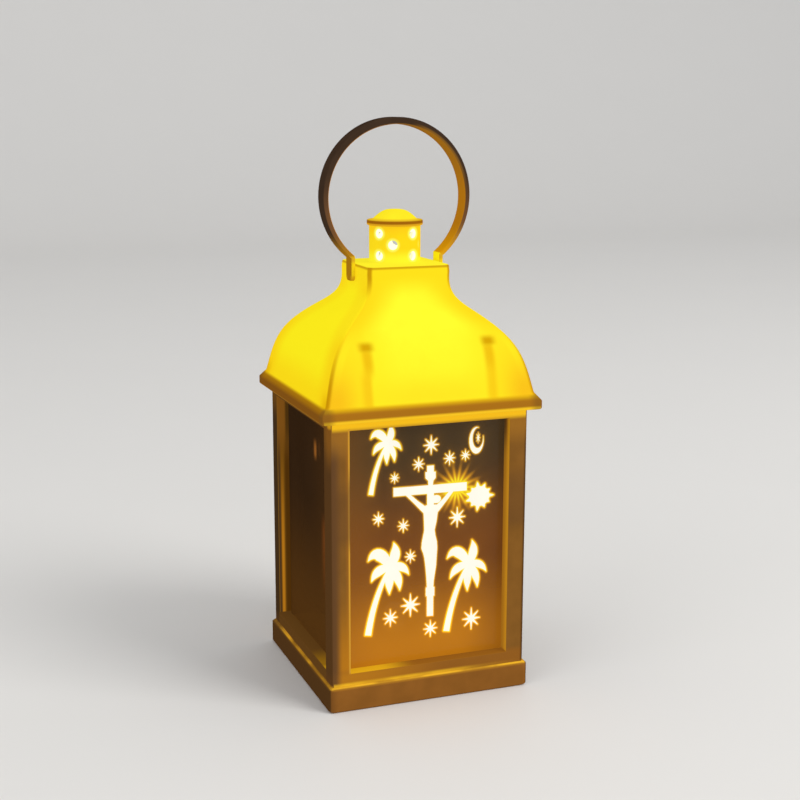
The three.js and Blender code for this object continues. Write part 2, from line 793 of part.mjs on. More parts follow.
// Chimney cap: a dome on a thin lip, with a spigot in the tube's mouth
function makeCap() {
  const lipTop = chimneyTopZ + capLipHeight;
  const crown = lipTop + capDomeHeight;
  const spigot = chimneyRadius - chimneyWall - capSpigotGap;
  const bore = spigot - capWall;
  const profile = [
    [bore, chimneyTopZ - capSpigotLength],
    [spigot, chimneyTopZ - capSpigotLength],
    [spigot, chimneyTopZ],
    [capLipRadius - capEdge, chimneyTopZ],
    [capLipRadius, chimneyTopZ + capEdge],
    [capLipRadius, lipTop - capEdge],
    [capLipRadius - capEdge, lipTop],
  ];
  const dome = new THREE.Path();
  dome.moveTo(capDomeRadius, lipTop);
  dome.bezierCurveTo(
    capDomeRadius - capFootLean,
    lipTop + capFootRise,
    capCrownFlat + capCrownReach,
    crown,
    capCrownFlat,
    crown,
  );
  profile.push(...dome.getPoints(capSteps).map((p) => [p.x, p.y]));
  profile.push([0, crown], [0, crown - capWall], [bore, lipTop]);
  profile.push([bore, chimneyTopZ - capSpigotLength]);
  return turned(profile);
}

addPiece('chimney_cap', makeCap(), litCap);

// Carrying ring: hoop and tabs in one strip, with a pin through each side of the neck
function makeRing() {
  const centreZ = roofTopZ + ringRise;
  const tabInner = neckHalf + ringTabGap;
  const tabOuter = tabInner + ringStripThickness;
  const tabFoot = roofTopZ - ringTabBelowTop;
  const innerRadius = ringRadius - ringHoopThickness;
  const innerZ = centreZ - ringInnerDrop;
  const outerAngle = Math.acos(tabOuter / ringRadius);
  const innerAngle = Math.acos(tabInner / innerRadius);
  const tabMiddle = tabFoot + ringTabCorner;
  const outline = new THREE.Shape();
  outline.moveTo(tabOuter, tabMiddle);
  outline.lineTo(ringRadius * Math.cos(outerAngle), centreZ - ringRadius * Math.sin(outerAngle));
  outline.absarc(0, centreZ, ringRadius, -outerAngle, Math.PI + outerAngle, false);
  outline.lineTo(-tabOuter, tabMiddle);
  outline.lineTo(-tabInner, tabMiddle);
  outline.lineTo(-tabInner, innerZ - innerRadius * Math.sin(innerAngle));
  outline.absarc(0, innerZ, innerRadius, Math.PI + innerAngle, -innerAngle, true);
  outline.lineTo(tabInner, tabMiddle);
  outline.closePath();
  const strip = new THREE.ExtrudeGeometry(outline, {
    depth: ringStripWidth,
    bevelEnabled: false,
    curveSegments: hoopSteps,
  });
  strip.translate(0, 0, -ringStripWidth / 2).rotateX(Math.PI / 2);
  let ring = toSolid(strip);
  const halfWidth = ringStripWidth / 2;
  for (const side of [-1, 1]) {
    const tongue = new THREE.Shape();
    tongue.moveTo(-halfWidth, tabMiddle + ringTabCorner);
    tongue.lineTo(-halfWidth, tabMiddle);
    const cornerX = halfWidth - ringTabCorner;
    const down = 1.5 * Math.PI;
    tongue.absarc(-cornerX, tabMiddle, ringTabCorner, Math.PI, down, false);
    tongue.absarc(cornerX, tabMiddle, ringTabCorner, down, 2 * Math.PI, false);
    tongue.lineTo(halfWidth, tabMiddle + ringTabCorner);
    tongue.closePath();
    const foot = new THREE.ExtrudeGeometry(tongue, {
      depth: ringStripThickness,
      bevelEnabled: false,
      curveSegments: tongueSteps,
    });
    foot.rotateX(Math.PI / 2).rotateZ(Math.PI / 2);
    foot.translate(side > 0 ? tabInner : -tabOuter, 0, 0);
    const pinLength = ringTabGap + pivotPinReach + ringStripThickness / 2;
    const pin = new THREE.CylinderGeometry(pivotPinRadius, pivotPinRadius, pinLength, pinSides);
    pin.rotateZ(Math.PI / 2);
    pin.translate(side * (tabInner + ringStripThickness / 2 - pinLength / 2), 0, pivotZ);
    ring = join(ring, toSolid(foot), toSolid(pin));
  }
  return ring;
}

addPiece('carrying_ring', makeRing(), bailPlastic);

// Screws that hold the roof, from under the body's deck, and the tray, from below
const bodyScrewShape = makeScrew(screwHeadRadius, screwHeadHeight, screwRadius,
  deckThickness + screwBite);
const baseScrewFoot = baseScrewRecess - screwHeadHeight;
const baseScrewShape = makeScrew(screwHeadRadius, screwHeadHeight, screwRadius,
  plinthHeight - baseScrewRecess + screwBite);
const cornerNames = ['front_left', 'front_right', 'back_right', 'back_left'];
fourCorners.forEach(([sideX, sideY], i) => {
  addPiece(`roof_screw_${cornerNames[i]}`, bodyScrewShape, steel,
    [sideX * roofPostX, sideY * roofPostY, bodyDeckUnderside - screwHeadHeight]);
  addPiece(`base_screw_${cornerNames[i]}`, baseScrewShape, steel,
    [sideX * cornerScrew, sideY * cornerScrew, baseScrewFoot]);
});

// Wires, each along the route that the boards, walls and holes leave for it
function makeWire(points, steps) {
  const route = new THREE.CatmullRomCurve3(points.map((p) => new THREE.Vector3(...p)), false,
    'catmullrom', 0.5);
  const section = new THREE.Shape();
  for (let i = 0; i < wireSides; i++) {
    const angle = i / wireSides * 2 * Math.PI;
    const corner = [wireRadius * Math.cos(angle), wireRadius * Math.sin(angle)];
    if (i === 0) {
      section.moveTo(...corner);
    } else {
      section.lineTo(...corner);
    }
  }
  section.closePath();
  return toSolid(new THREE.ExtrudeGeometry(section, { steps, extrudePath: route }));
}

const underContact = upperContactZ - wireGap - wireRadius;
const overSwitch = trayFloor + switchHeight + wireGap + wireRadius;
const overBaseBoard = lightDeckTop + boardThickness + wireGap + wireRadius;
const overRoofBoard = eaveZ + boardThickness + wireGap + wireRadius;
const switchTabX = switchLength / 2 - switchTabInset;

addPiece('battery_lead_red', makeWire([
  [positiveTailX, tailEndY - wireEndInset, underContact],
  [positiveTailX + wireSlack, tailEndY + wireLoop, underContact - wireSlack],
  [switchMiddleX - switchTabX - switchLeadReach, switchY - switchLeadReach, overSwitch + wireArch],
  [switchMiddleX - switchTabX - wireEndInset, switchY - wireSlack, overSwitch + wireArch],
  [switchMiddleX - switchTabX, switchY, overSwitch],
], leadSteps), redWire);
addPiece('battery_lead_black', makeWire([
  [negativeLegX, tailEndY - wireEndInset, underContact],
  [negativeLegX - wireSlack, tailEndY + wireLoop, underContact - wireSlack],
  [blackHole[0] + wireSlack, blackHole[1] + wireSlack, underContact],
  [blackHole[0], blackHole[1], lightDeckTop],
  [blackHole[0] - wireEndInset, blackHole[1] - wireSlack, overBaseBoard + wireArch],
  [baseBoardLength / 2 - wireEndInset, blackHole[1] - wireEndInset, overBaseBoard],
], leadSteps), blackWire);
addPiece('switch_lead', makeWire([
  [switchMiddleX + switchTabX, switchY, overSwitch],
  [switchMiddleX + switchTabX + wireSlack, switchY - wireSlack, overSwitch + wireArch],
  [switchHole[0], switchHole[1] + wireSlack, lightDeckUnderside - wireSlack],
  [switchHole[0], switchHole[1], lightDeckTop],
  [switchHole[0] - wireSlack, switchHole[1] - wireLoop, overBaseBoard + wireArch],
  [switchHole[0] - wireSlack, baseBoardWidth / 2 - wireEndInset, overBaseBoard],
], leadSteps), redWire);

// The two risers cross the base board's back left corner, climb and turn over to their holes
const riserTurn = bodyDeckUnderside - 2 * wireLoop;
for (const [name, side, finish] of [['red', -0.5, redWire], ['black', 0.5, blackWire]]) {
  const shift = side * riserSpacing;
  const startX = -baseBoardLength / 2 + wireLoop + 2 * shift;
  const climbX = -riserCorner + shift;
  const climbY = riserCorner + shift;
  const holeX = riserHoleX + side * riserHoleSpacing;
  addPiece(`riser_lead_${name}`, makeWire([
    [startX, baseBoardWidth / 2 - wireEndInset, overBaseBoard],
    [startX - wireEndInset, baseBoardWidth / 2 + wireEndInset, overBaseBoard + wireArch],
    [climbX + 2 * wireLoop, climbY - 2 * wireLoop, overBaseBoard + 2 * wireArch],
    [climbX, climbY, overBaseBoard + 3 * wireLoop],
    [climbX, climbY, (overBaseBoard + riserTurn) / 2],
    [climbX, climbY, riserTurn - 2 * wireLoop],
    [climbX + wireLoop + wireEndInset, climbY - wireLoop, riserTurn],
    [holeX - wireLoop, riserHoleY + wireLoop, bodyDeckUnderside - wireLoop - wireSlack],
    [holeX, riserHoleY, bodyDeckUnderside - wireSlack],
    [holeX, riserHoleY, eaveZ + wireArch],
    [holeX + wireArch, riserHoleY - wireLoop, overRoofBoard + wireArch],
    [holeX + wireArch, roofBoardWidth / 2 - wireEndInset, overRoofBoard],
  ], riserSteps), finish);
}

export default lantern;
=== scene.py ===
from math import acos, atan2, cos, exp, hypot, pi, radians, sin, sqrt

import bmesh
import bpy
from mathutils import Matrix, Vector
from mathutils.geometry import interpolate_bezier
from mathutils.kdtree import KDTree


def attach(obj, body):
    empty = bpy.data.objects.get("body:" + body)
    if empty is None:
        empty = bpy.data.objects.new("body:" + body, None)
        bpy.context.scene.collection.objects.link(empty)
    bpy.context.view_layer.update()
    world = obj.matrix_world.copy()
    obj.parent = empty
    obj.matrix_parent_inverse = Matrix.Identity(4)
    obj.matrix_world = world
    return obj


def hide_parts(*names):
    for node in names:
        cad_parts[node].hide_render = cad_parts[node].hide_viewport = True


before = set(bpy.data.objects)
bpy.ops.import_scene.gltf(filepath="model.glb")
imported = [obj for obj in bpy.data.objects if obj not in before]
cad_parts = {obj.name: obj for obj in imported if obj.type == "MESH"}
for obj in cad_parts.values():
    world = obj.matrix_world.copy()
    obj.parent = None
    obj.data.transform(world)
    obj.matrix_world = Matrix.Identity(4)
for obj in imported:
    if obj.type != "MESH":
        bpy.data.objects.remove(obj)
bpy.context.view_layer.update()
mm = 0.001
print("frame loaded:", len(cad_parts), "nodes")


# Node helpers: a value that isn't a socket is set as a plain number or colour
def feed(tree, socket, value):
    if isinstance(value, bpy.types.NodeSocket):
        tree.links.new(value, socket)
    else:
        socket.default_value = value


def feedAll(tree, node, values):
    for name, value in values.items():
        feed(tree, node.inputs[name], value)


def calc(tree, operation, first, second=0.0):
    node = tree.nodes.new("ShaderNodeMath")
    node.operation = operation
    feedAll(tree, node, {0: first, 1: second})
    return node.outputs[0]


def ease(tree, value, low, high, fromShare=0.0, toShare=1.0):
    node = tree.nodes.new("ShaderNodeMapRange")
    node.interpolation_type = "SMOOTHSTEP"
    ends = {"From Min": low, "From Max": high, "To Min": fromShare, "To Max": toShare}
    feedAll(tree, node, {"Value": value, **ends})
    return node.outputs["Result"]


def mixed(tree, share, first, second, mode="MIX"):
    # the colours' own sockets come after those for numbers and vectors
    node = tree.nodes.new("ShaderNodeMix")
    node.data_type = "RGBA"
    node.blend_type = mode
    feedAll(tree, node, {0: share, 6: first, 7: second})
    return node.outputs[2]


def screen(colour):
    # a screen colour from 0 to 255, as the linear one that a shader takes
    shares = [part / 255 for part in colour]
    return (*[((s + 0.055) / 1.055) ** 2.4 if s > 0.04045 else s / 12.92 for s in shares], 1.0)


def times(colour, factor):
    # a linear colour, brighter or darker
    return (*[part * factor for part in colour[:3]], 1.0)


def scaledPlace(tree, scales):
    coordinates = tree.nodes.new("ShaderNodeTexCoord")
    mapping = tree.nodes.new("ShaderNodeMapping")
    feedAll(tree, mapping, {"Vector": coordinates.outputs["Object"], "Scale": scales})
    return mapping.outputs["Vector"]


def noise(tree, size, detail=3.0, stretch=(1, 1, 1)):
    # size is the width of one blotch in millimetres
    node = tree.nodes.new("ShaderNodeTexNoise")
    place = scaledPlace(tree, tuple(part / (size * mm) for part in stretch))
    feedAll(tree, node, {"Vector": place, "Scale": 1.0, "Detail": detail})
    return node.outputs["Fac"]


# The ring's hoop: two circles, the inner one a little lower
hoop = {"radius": 19.0, "innerRadius": 17.7, "width": 4.6, "centreZ": 121.1, "innerZ": 120.7}

# Air holes of the chimney: bearings from the front, each with its rows
holes = {
    "rows": {-58.0: (-1, 1), -24.7: (0,), 24.7: (-1, 1), 58.0: (0,)},
    "middle": 109.6,
    "spread": 2.7,
    "radius": 1.15,
    "drillMiddle": 6.0,
    "drillLength": 3.2,
    "drillSteps": 32,
}
farAway = 99.0  # more than any hole's or edge's distance here


def distance(first, second):
    squares = [("MULTIPLY", side, side) for side in (first, second)]
    return ("SQRT", ("ADD", *squares))


# Where a point lies on the object. A recipe is a number, a name or an operation on recipes
fields = {
    "absX": ("ABSOLUTE", "x"),
    "absY": ("ABSOLUTE", "y"),
    "reach": ("MAXIMUM", "absX", "absY"),
    "near": ("MINIMUM", "absX", "absY"),
    "ridge": ("SUBTRACT", "reach", "near"),
    "sideways": ("SUBTRACT", "absX", "absY"),
    "around": distance("x", "y"),
    "fromHoop": distance("x", ("SUBTRACT", "z", hoop["innerZ"])),
    "byHole": farAway,
}
for bearing, rows in holes["rows"].items():
    parts = ("x", cos(radians(bearing))), ("y", sin(radians(bearing)))
    across = ("ADD", *[("MULTIPLY", *part) for part in parts])
    for row in rows:
        over = ("SUBTRACT", "z", holes["middle"] + row * holes["spread"])
        fields["byHole"] = ("MINIMUM", fields["byHole"], distance(across, over))


def field(tree, known, recipe):
    # known holds what this material has made already
    if isinstance(recipe, float):
        return recipe
    if recipe not in known:
        if isinstance(recipe, tuple):
            operation, *parts = recipe
            known[recipe] = calc(tree, operation, *[field(tree, known, part) for part in parts])
        elif recipe in fields:
            known[recipe] = field(tree, known, fields[recipe])
        else:
            split = tree.nodes.new("ShaderNodeSeparateXYZ")
            feed(tree, split.inputs[0], scaledPlace(tree, (1 / mm, 1 / mm, 1 / mm)))
            known.update(zip(("x", "y", "z"), split.outputs))
    return known[recipe]


def tintAndPaintedLight(colour, amount=1.0, blotch=None, **fade):
    # a colour and where it shows, used both for the thing's own colours and for painted light and
    # shade: each field fades it in at its stops, and a blotch breaks it up
    return {"colour": colour, "amount": amount, "blotch": blotch, "fade": fade}


# Noise seldom goes past these, so they are where a pattern fades
noiseEnds = {"blotch": (0.35, 0.65), "drift": (0.3, 0.7), "grain": (0.25, 0.75)}


def shareOf(tree, known, zone):
    # two stops fade a zone in, four fade it in and out again
    share = zone["amount"]
    for name, stops in zone["fade"].items():
        value = field(tree, known, name)
        step = ease(tree, value, *stops[:2])
        if len(stops) == 4:
            step = calc(tree, "MULTIPLY", step, ease(tree, value, *stops[2:], 1.0, 0.0))
        share = calc(tree, "MULTIPLY", step, share)
    if zone["blotch"]:
        size, low = zone["blotch"]
        patchy = ease(tree, noise(tree, size), *noiseEnds["blotch"], low, 1.0)
        share = calc(tree, "MULTIPLY", share, patchy)
    return share


def newMaterial(name):
    material = bpy.data.materials.new(name)
    material.use_nodes = True
    return material, material.node_tree, material.node_tree.nodes["Principled BSDF"]


def grain(tree, shader, height, strength, depth):
    bump = tree.nodes.new("ShaderNodeBump")
    feedAll(tree, bump, {"Height": height, "Strength": strength, "Distance": depth * mm})
    feed(tree, shader.inputs["Normal"], bump.outputs["Normal"])


# What moulded plastic looks like where its own look says nothing, with sizes in millimetres
usualLook = {
    "lit": 0.0,
    "drift": 0.08,
    "driftSize": 6.0,
    "tintsAndPaintedLight": [],
    "glows": [],
    "grainSize": 0.35,
    "grainDetail": 4.0,
    "grainDepth": 0.05,
    "bump": 0.12,
    "roughness": 0.42,
    "roughSwing": 0.06,
    "gloss": 0.04,
    "ior": 1.46,
    "alpha": 1.0,
}


def moulded(name, ownLook):
    # moulded plastic: soft colour drift, fine surface grain, and tints by place, many of them
    # painted light and shade
    material, tree, shader = newMaterial(name)
    look, known = {**usualLook, **ownLook}, {}
    colour, drift = screen(look["colour"]), look["drift"]
    share = ease(tree, noise(tree, look["driftSize"]), *noiseEnds["drift"])
    base = mixed(tree, share, times(colour, 1 - drift), times(colour, 1 + drift))
    for zone in look["tintsAndPaintedLight"]:
        base = mixed(tree, shareOf(tree, known, zone), base, screen(zone["colour"]))
    # painted glow: the lit share of the colour is given off, standing in for the light from the
    # diodes inside, and the rest is reflected; glows add more painted light on top
    lit, dark = look["lit"], (0.0, 0.0, 0.0, 1.0)
    if lit:
        glow = mixed(tree, lit, dark, base)
        for zone in look["glows"]:
            glow = mixed(tree, shareOf(tree, known, zone), glow, screen(zone["colour"]), "ADD")
        feedAll(tree, shader, {"Emission Color": glow, "Emission Strength": 1.0})
    fine = noise(tree, look["grainSize"], look["grainDetail"])
    rough, swing = look["roughness"], look["roughSwing"]
    feedAll(tree, shader, {
        "Base Color": mixed(tree, lit, base, dark),
        "Roughness": ease(tree, fine, *noiseEnds["grain"], rough - swing, rough + swing),
        "IOR": look["ior"],
        "Specular IOR Level": look["gloss"],
        "Alpha": look["alpha"],
    })
    grain(tree, shader, fine, look["bump"], look["grainDepth"])
    return material


# Brushed metal: its lay runs across Z, and the hollows are duller
brushing = {
    "detail": 5.0,
    "stretch": (1, 1, 12),
    "dull": 0.8,
    "rougher": 0.1,
    "smoother": 0.08,
    "bump": 0.15,
    "depth": 0.02,
}


def metal(name, look):
    material, tree, shader = newMaterial(name)
    brushed = noise(tree, look["brush"], brushing["detail"], brushing["stretch"])
    bright, rough = screen(look["colour"]), look["roughness"]
    share = ease(tree, brushed, *noiseEnds["drift"])
    roughs = rough - brushing["smoother"], rough + brushing["rougher"]
    feedAll(tree, shader, {
        "Base Color": mixed(tree, share, times(bright, brushing["dull"]), bright),
        "Metallic": 1.0,
        "Roughness": ease(tree, brushed, *noiseEnds["grain"], *roughs),
    })
    grain(tree, shader, brushed, brushing["bump"], brushing["depth"])
    return material


# Mesh helpers: lengths are millimetres until a piece is added
def outward(bm):
    bmesh.ops.recalc_face_normals(bm, faces=bm.faces)


# Points this near to each other are one, and edges over this angle shade sharp
mergeAt, usualSharpest = 1e-4, 35


def addObject(name, data):
    thing = bpy.data.objects.new(name, data)
    bpy.context.scene.collection.objects.link(thing)
    return thing


def smoothen(mesh, sharpest):
    mesh.shade_smooth()
    mesh.set_sharp_from_angle(angle=radians(sharpest))


def addPiece(name, bm, material, body=None, sharpest=usualSharpest):
    bmesh.ops.scale(bm, vec=(mm, mm, mm), verts=bm.verts)
    mesh = bpy.data.meshes.new(name)
    bm.to_mesh(mesh)
    bm.free()
    mesh.materials.append(material)
    smoothen(mesh, sharpest)
    piece = addObject(name, mesh)
    if body:
        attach(piece, body)
    return piece


def settle(piece, sharpest=usualSharpest):
    # a piece's modifiers become its mesh
    depsgraph = bpy.context.evaluated_depsgraph_get()
    piece.data = bpy.data.meshes.new_from_object(piece.evaluated_get(depsgraph))
    piece.modifiers.clear()
    smoothen(piece.data, sharpest)


def carve(piece, cutter, sharpest=usualSharpest, crossed=False):
    # crossed: the cutter's own parts run through each other
    modifier = piece.modifiers.new("carve", "BOOLEAN")
    modifier.operation = "DIFFERENCE"
    modifier.solver = "EXACT"
    modifier.use_self = crossed
    modifier.object = cutter
    settle(piece, sharpest)
    bpy.data.objects.remove(cutter)


def spun(profile, steps, x=0.0, y=0.0, foot=0.0):
    # a turned piece: profile points are (radius, height)
    bm = bmesh.new()
    points = [bm.verts.new((radius, 0, z)) for radius, z in profile]
    edges = [bm.edges.new(pair) for pair in zip(points, points[1:])]
    bmesh.ops.spin(bm, geom=points + edges, cent=(0, 0, 0), axis=(0, 0, 1), angle=2 * pi,
                   steps=steps, use_merge=True)
    bmesh.ops.remove_doubles(bm, verts=bm.verts, dist=mergeAt)
    outward(bm)
    bmesh.ops.translate(bm, vec=(x, y, foot), verts=bm.verts)
    return bm


def addRod(bm, radius, length, segments, place):
    return bmesh.ops.create_cone(
        bm, cap_ends=True, segments=segments, radius1=radius, radius2=radius, depth=length,
        matrix=place,
    )["verts"]


def lying(x, z):
    # the place of a rod that lies along X
    return Matrix.Translation((x, 0, z)) @ Matrix.Rotation(pi / 2, 4, "Y")


def grownVerts(geom):
    return [part for part in geom if isinstance(part, bmesh.types.BMVert)]


# CAD meshes: how near points merge, which faces count as one, and which edges as sharp
cadMesh = {"mergeAt": 1e-3, "flatAngle": 1, "sharpAngle": 40, "bevelSegments": 3}


def nodeCopy(name, bevel, least):
    # a CAD node's mesh, merged, with its long edges rounded
    bm = bmesh.new()
    bm.from_mesh(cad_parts[name].data)
    bmesh.ops.scale(bm, vec=(1 / mm, 1 / mm, 1 / mm), verts=bm.verts)
    bmesh.ops.remove_doubles(bm, verts=bm.verts, dist=cadMesh["mergeAt"])
    bmesh.ops.dissolve_limit(bm, angle_limit=radians(cadMesh["flatAngle"]), verts=bm.verts,
                             edges=bm.edges)
    long = [
        edge for edge in bm.edges
        if len(edge.link_faces) == 2 and edge.calc_length() > least
        and edge.calc_face_angle(0) > radians(cadMesh["sharpAngle"])
    ]
    bmesh.ops.bevel(bm, geom=long, offset=bevel, offset_type="OFFSET", profile=0.5,
                    segments=cadMesh["bevelSegments"], affect="EDGES", material=-1,
                    clamp_overlap=True)
    return bm


# Camera at the photograph's place
camera = {
    "place": (-121.55, -327.57, 142.3),
    "azimuth": -20.584,
    "elevation": 11.687,
    "roll": 0.122,
    "lens": 63.63,
    "sensor": 36.0,
    "clip": (10, 20000),
}


def makeCamera():
    data = bpy.data.cameras.new("camera")
    data.lens = camera["lens"]
    data.sensor_width = camera["sensor"]
    data.clip_start, data.clip_end = [far * mm for far in camera["clip"]]
    thing = addObject("camera", data)
    place = Matrix.Translation(Vector(camera["place"]) * mm)
    for angle, axis in (
        (camera["azimuth"], "Z"), (90 - camera["elevation"], "X"), (camera["roll"], "Z"),
    ):
        place = place @ Matrix.Rotation(radians(angle), 4, axis)
    thing.matrix_world = place
    bpy.context.scene.camera = thing


makeCamera()
print("camera placed")

# Studio: a pale sweep, a soft key from the right and a weaker fill
studio = {
    "floorColour": (222, 219, 214),
    "floorDim": 0.985,
    "floorMottle": (80.0, 2.0),
    "floorRoughness": 0.7,
    "sharpest": 60,
    "reach": 3200,
    "sweepStart": 1100,
    "sweepRadius": 700,
    "sweepSteps": 24,
    "sweepTop": 2200,
    "world": (235, 238, 243),
    "worldStrength": 0.86,
    "aim": (0, 0, 70),
    "lamps": {
        "key": {"energy": 11.5, "size": 700, "place": (750, -850, 950)},
        "fill": {"energy": 2.2, "size": 800, "place": (-950, -450, 550)},
    },
}


def makeSweep():
    # a floor that curves up into a wall behind: one edge pulled on step by step
    reach, radius, steps = studio["reach"], studio["sweepRadius"], studio["sweepSteps"]
    bends = [i / steps * pi / 2 for i in range(steps + 1)]
    pulls = [(reach + studio["sweepStart"], 0)]
    pulls += [
        (radius * (sin(high) - sin(low)), radius * (cos(low) - cos(high)))
        for low, high in zip(bends, bends[1:])
    ]
    pulls += [(0, studio["sweepTop"])]
    bm = bmesh.new()
    edges = [bm.edges.new([bm.verts.new((x, -reach, 0)) for x in (-reach, reach)])]
    for back, up in pulls:
        grown = bmesh.ops.extrude_edge_only(bm, edges=edges)["geom"]
        bmesh.ops.translate(bm, vec=(0, back, up), verts=grownVerts(grown))
        edges = [part for part in grown if isinstance(part, bmesh.types.BMEdge)]
    outward(bm)
    material, tree, shader = newMaterial("studioFloor")
    pale, mottle = screen(studio["floorColour"]), noise(tree, *studio["floorMottle"])
    feedAll(tree, shader, {
        "Base Color": mixed(tree, mottle, times(pale, studio["floorDim"]), pale),
        "Roughness": studio["floorRoughness"],
    })
    floor = addPiece("floorSweep", bm, material, sharpest=studio["sharpest"])


def lightStudio():
    world = bpy.data.worlds.new("studioWorld")
    world.use_nodes = True
    background = world.node_tree.nodes["Background"]
    background.inputs["Color"].default_value = screen(studio["world"])
    background.inputs["Strength"].default_value = studio["worldStrength"]
    bpy.context.scene.world = world
    for name, lamp in studio["lamps"].items():
        data = bpy.data.lights.new(name, "AREA")
        data.energy, data.size = lamp["energy"], lamp["size"] * mm
        place = Vector(lamp["place"])
        turn = (Vector(studio["aim"]) - place).to_track_quat("-Z", "Y").to_matrix().to_4x4()
        addObject(name, data).matrix_world = Matrix.Translation(place * mm) @ turn


makeSweep()
lightStudio()
bpy.context.scene.view_settings.view_transform = "Standard"
print("studio lit")

# Stops of sideways, which is negative on the front and back of a square piece and positive on
# its sides
onFront, onSide, wellOnFront = (-0.2, -0.5), (-0.2, 0.2), (-2, -3)

# Roof: a square ogee shell over a coved eave, lit from inside, with its glow and shade painted into
# its material
roof = {
    "wall": 1.6,
    "plateHole": 6.55,
    "plateTop": 105.0,
    "plateUnder": 103.5,
    "plateSteps": 6,
    "collarWidth": 0.75,
    "collarHeight": 0.4,
    "collarProfile": ((0, 1), (0.2, 1), (0.45, 0.35), (1, 0)),
    "rimHalf": 23.4,
    "eaveFoot": 71.15,
    "eaveHalf": 27.8,
    "eaveRound": 0.45,
    "lipTop": 73.6,
    "slopeRound": 0.35,
    "slopeShift": 0.05,
    "slopeSteps": 6,
    "foot": (26.28, 75.1),
    "bulge": (24.54, 83.42),
    "shoulderLow": (23.68, 86.97),
    "shoulder": (17.58, 92.15),
    "shoulderHigh": (13.24, 95.84),
    "neckLow": (10.3, 96.6),
    "neck": (10.75, 103.2),
    "neckTop": 10.65,
    "neckRound": 0.45,
    "ridgeRadius": 0.7,
    "neckRadius": 1.6,
    "cornerSteps": 6,
    "sideSteps": 16,
    "curveSteps": 26,
    "pinHole": (1.1, 30.0, 48),
    "pinZ": 102.25,
    "sharpest": 32,
    "postPlaces": (13.2, 18.0),
    "postRadius": 1.7,
    "postSteps": 40,
    "pilotRadius": 1.0,
    "pilotDepth": 8.0,
}


def arc(centre, radius, start, end, steps=4):
    angles = [radians(start + (end - start) * i / steps) for i in range(steps + 1)]
    return [(centre[0] + radius * cos(a), centre[1] + radius * sin(a)) for a in angles]


def bezier(first, firstHandle, lastHandle, last, steps):
    knots = [Vector((*p, 0)) for p in (first, firstHandle, lastHandle, last)]
    return [(p.x, p.y) for p in interpolate_bezier(*knots, steps)]


def squareLoop(half, z, radius):
    # one level of the roof: four sides with round corners, from the start of a corner onwards
    loop = []
    inner, sides = half - radius, roof["sideSteps"]
    corner = arc((inner, inner), radius, 0, 90, roof["cornerSteps"])
    side = [(inner - 2 * inner * i / sides, half) for i in range(1, sides)]
    for quarter in range(4):
        turn = Matrix.Rotation(quarter * pi / 2, 3, "Z")
        loop += [turn @ Vector((x, y, z)) for x, y in corner + side]
    return loop


def roundLoop(radius, z, count):
    # starts at the same bearing as a square loop of that many points
    start = 45 - roof["cornerSteps"] * 180 / count
    return [Vector((x, y, z)) for x, y in arc((0, 0), radius, start, start + 360, count)[:-1]]


def between(start, end, steps):
    # loops that lead from one to the other, without either
    return [[a.lerp(b, i / steps) for a, b in zip(start, end)] for i in range(1, steps)]


def lofted(loops, closed=False):
    # each ring is pulled out of the one before and laid on its own points
    bm = bmesh.new()
    row = [bm.verts.new(p) for p in loops[0]]
    edges = [bm.edges.new((row[i - 1], row[i])) for i in range(len(row))]
    first = row
    for loop in loops[1:] + (loops[:1] if closed else []):
        made = bmesh.ops.extrude_edge_only(bm, edges=edges)["geom"]
        grown = {tuple(v.co): v for v in grownVerts(made)}
        row = [grown[tuple(v.co)] for v in row]
        edges = [bm.edges.get((row[i - 1], row[i])) for i in range(len(row))]
        for v, place in zip(row, loop):
            v.co = place
    if closed:
        bmesh.ops.remove_doubles(bm, verts=first + row, dist=mergeAt)
    outward(bm)
    return bm


def roofProfile():
    half, turn = roof["eaveHalf"], roof["eaveRound"]
    profile = arc((half - turn, roof["eaveFoot"] + turn), turn, -90, 0)
    profile += arc((half - turn, roof["lipTop"] - turn), turn, 0, 45)
    footHalf, footZ = roof["foot"]
    soft, shift = roof["slopeRound"], roof["slopeShift"]
    profile += bezier((footHalf + soft, footZ - soft), (footHalf + 2 * shift, footZ - 2 * shift),
                      (footHalf + shift, footZ), (footHalf - shift, footZ + soft),
                      roof["slopeSteps"])
    steps = roof["curveSteps"]
    low = [roof[name] for name in ("foot", "bulge", "shoulderLow", "shoulder")]
    high = [roof[name] for name in ("shoulder", "shoulderHigh", "neckLow", "neck")]
    profile += bezier(*low, steps)[2:] + bezier(*high, steps)[1:]
    corner = roof["neckRound"]
    profile += arc((roof["neckTop"] - corner, roof["plateTop"] - corner), corner, 0, 90)
    return profile


def cornerAt(z):
    # the ridges widen smoothly from the eave to the neck
    foot, neck = roof["foot"][1], roof["neck"][1]
    share = min(1.0, max(0.0, (z - foot) / (neck - foot)))
    share = share * share * (3 - 2 * share)
    return roof["ridgeRadius"] + (roof["neckRadius"] - roof["ridgeRadius"]) * share


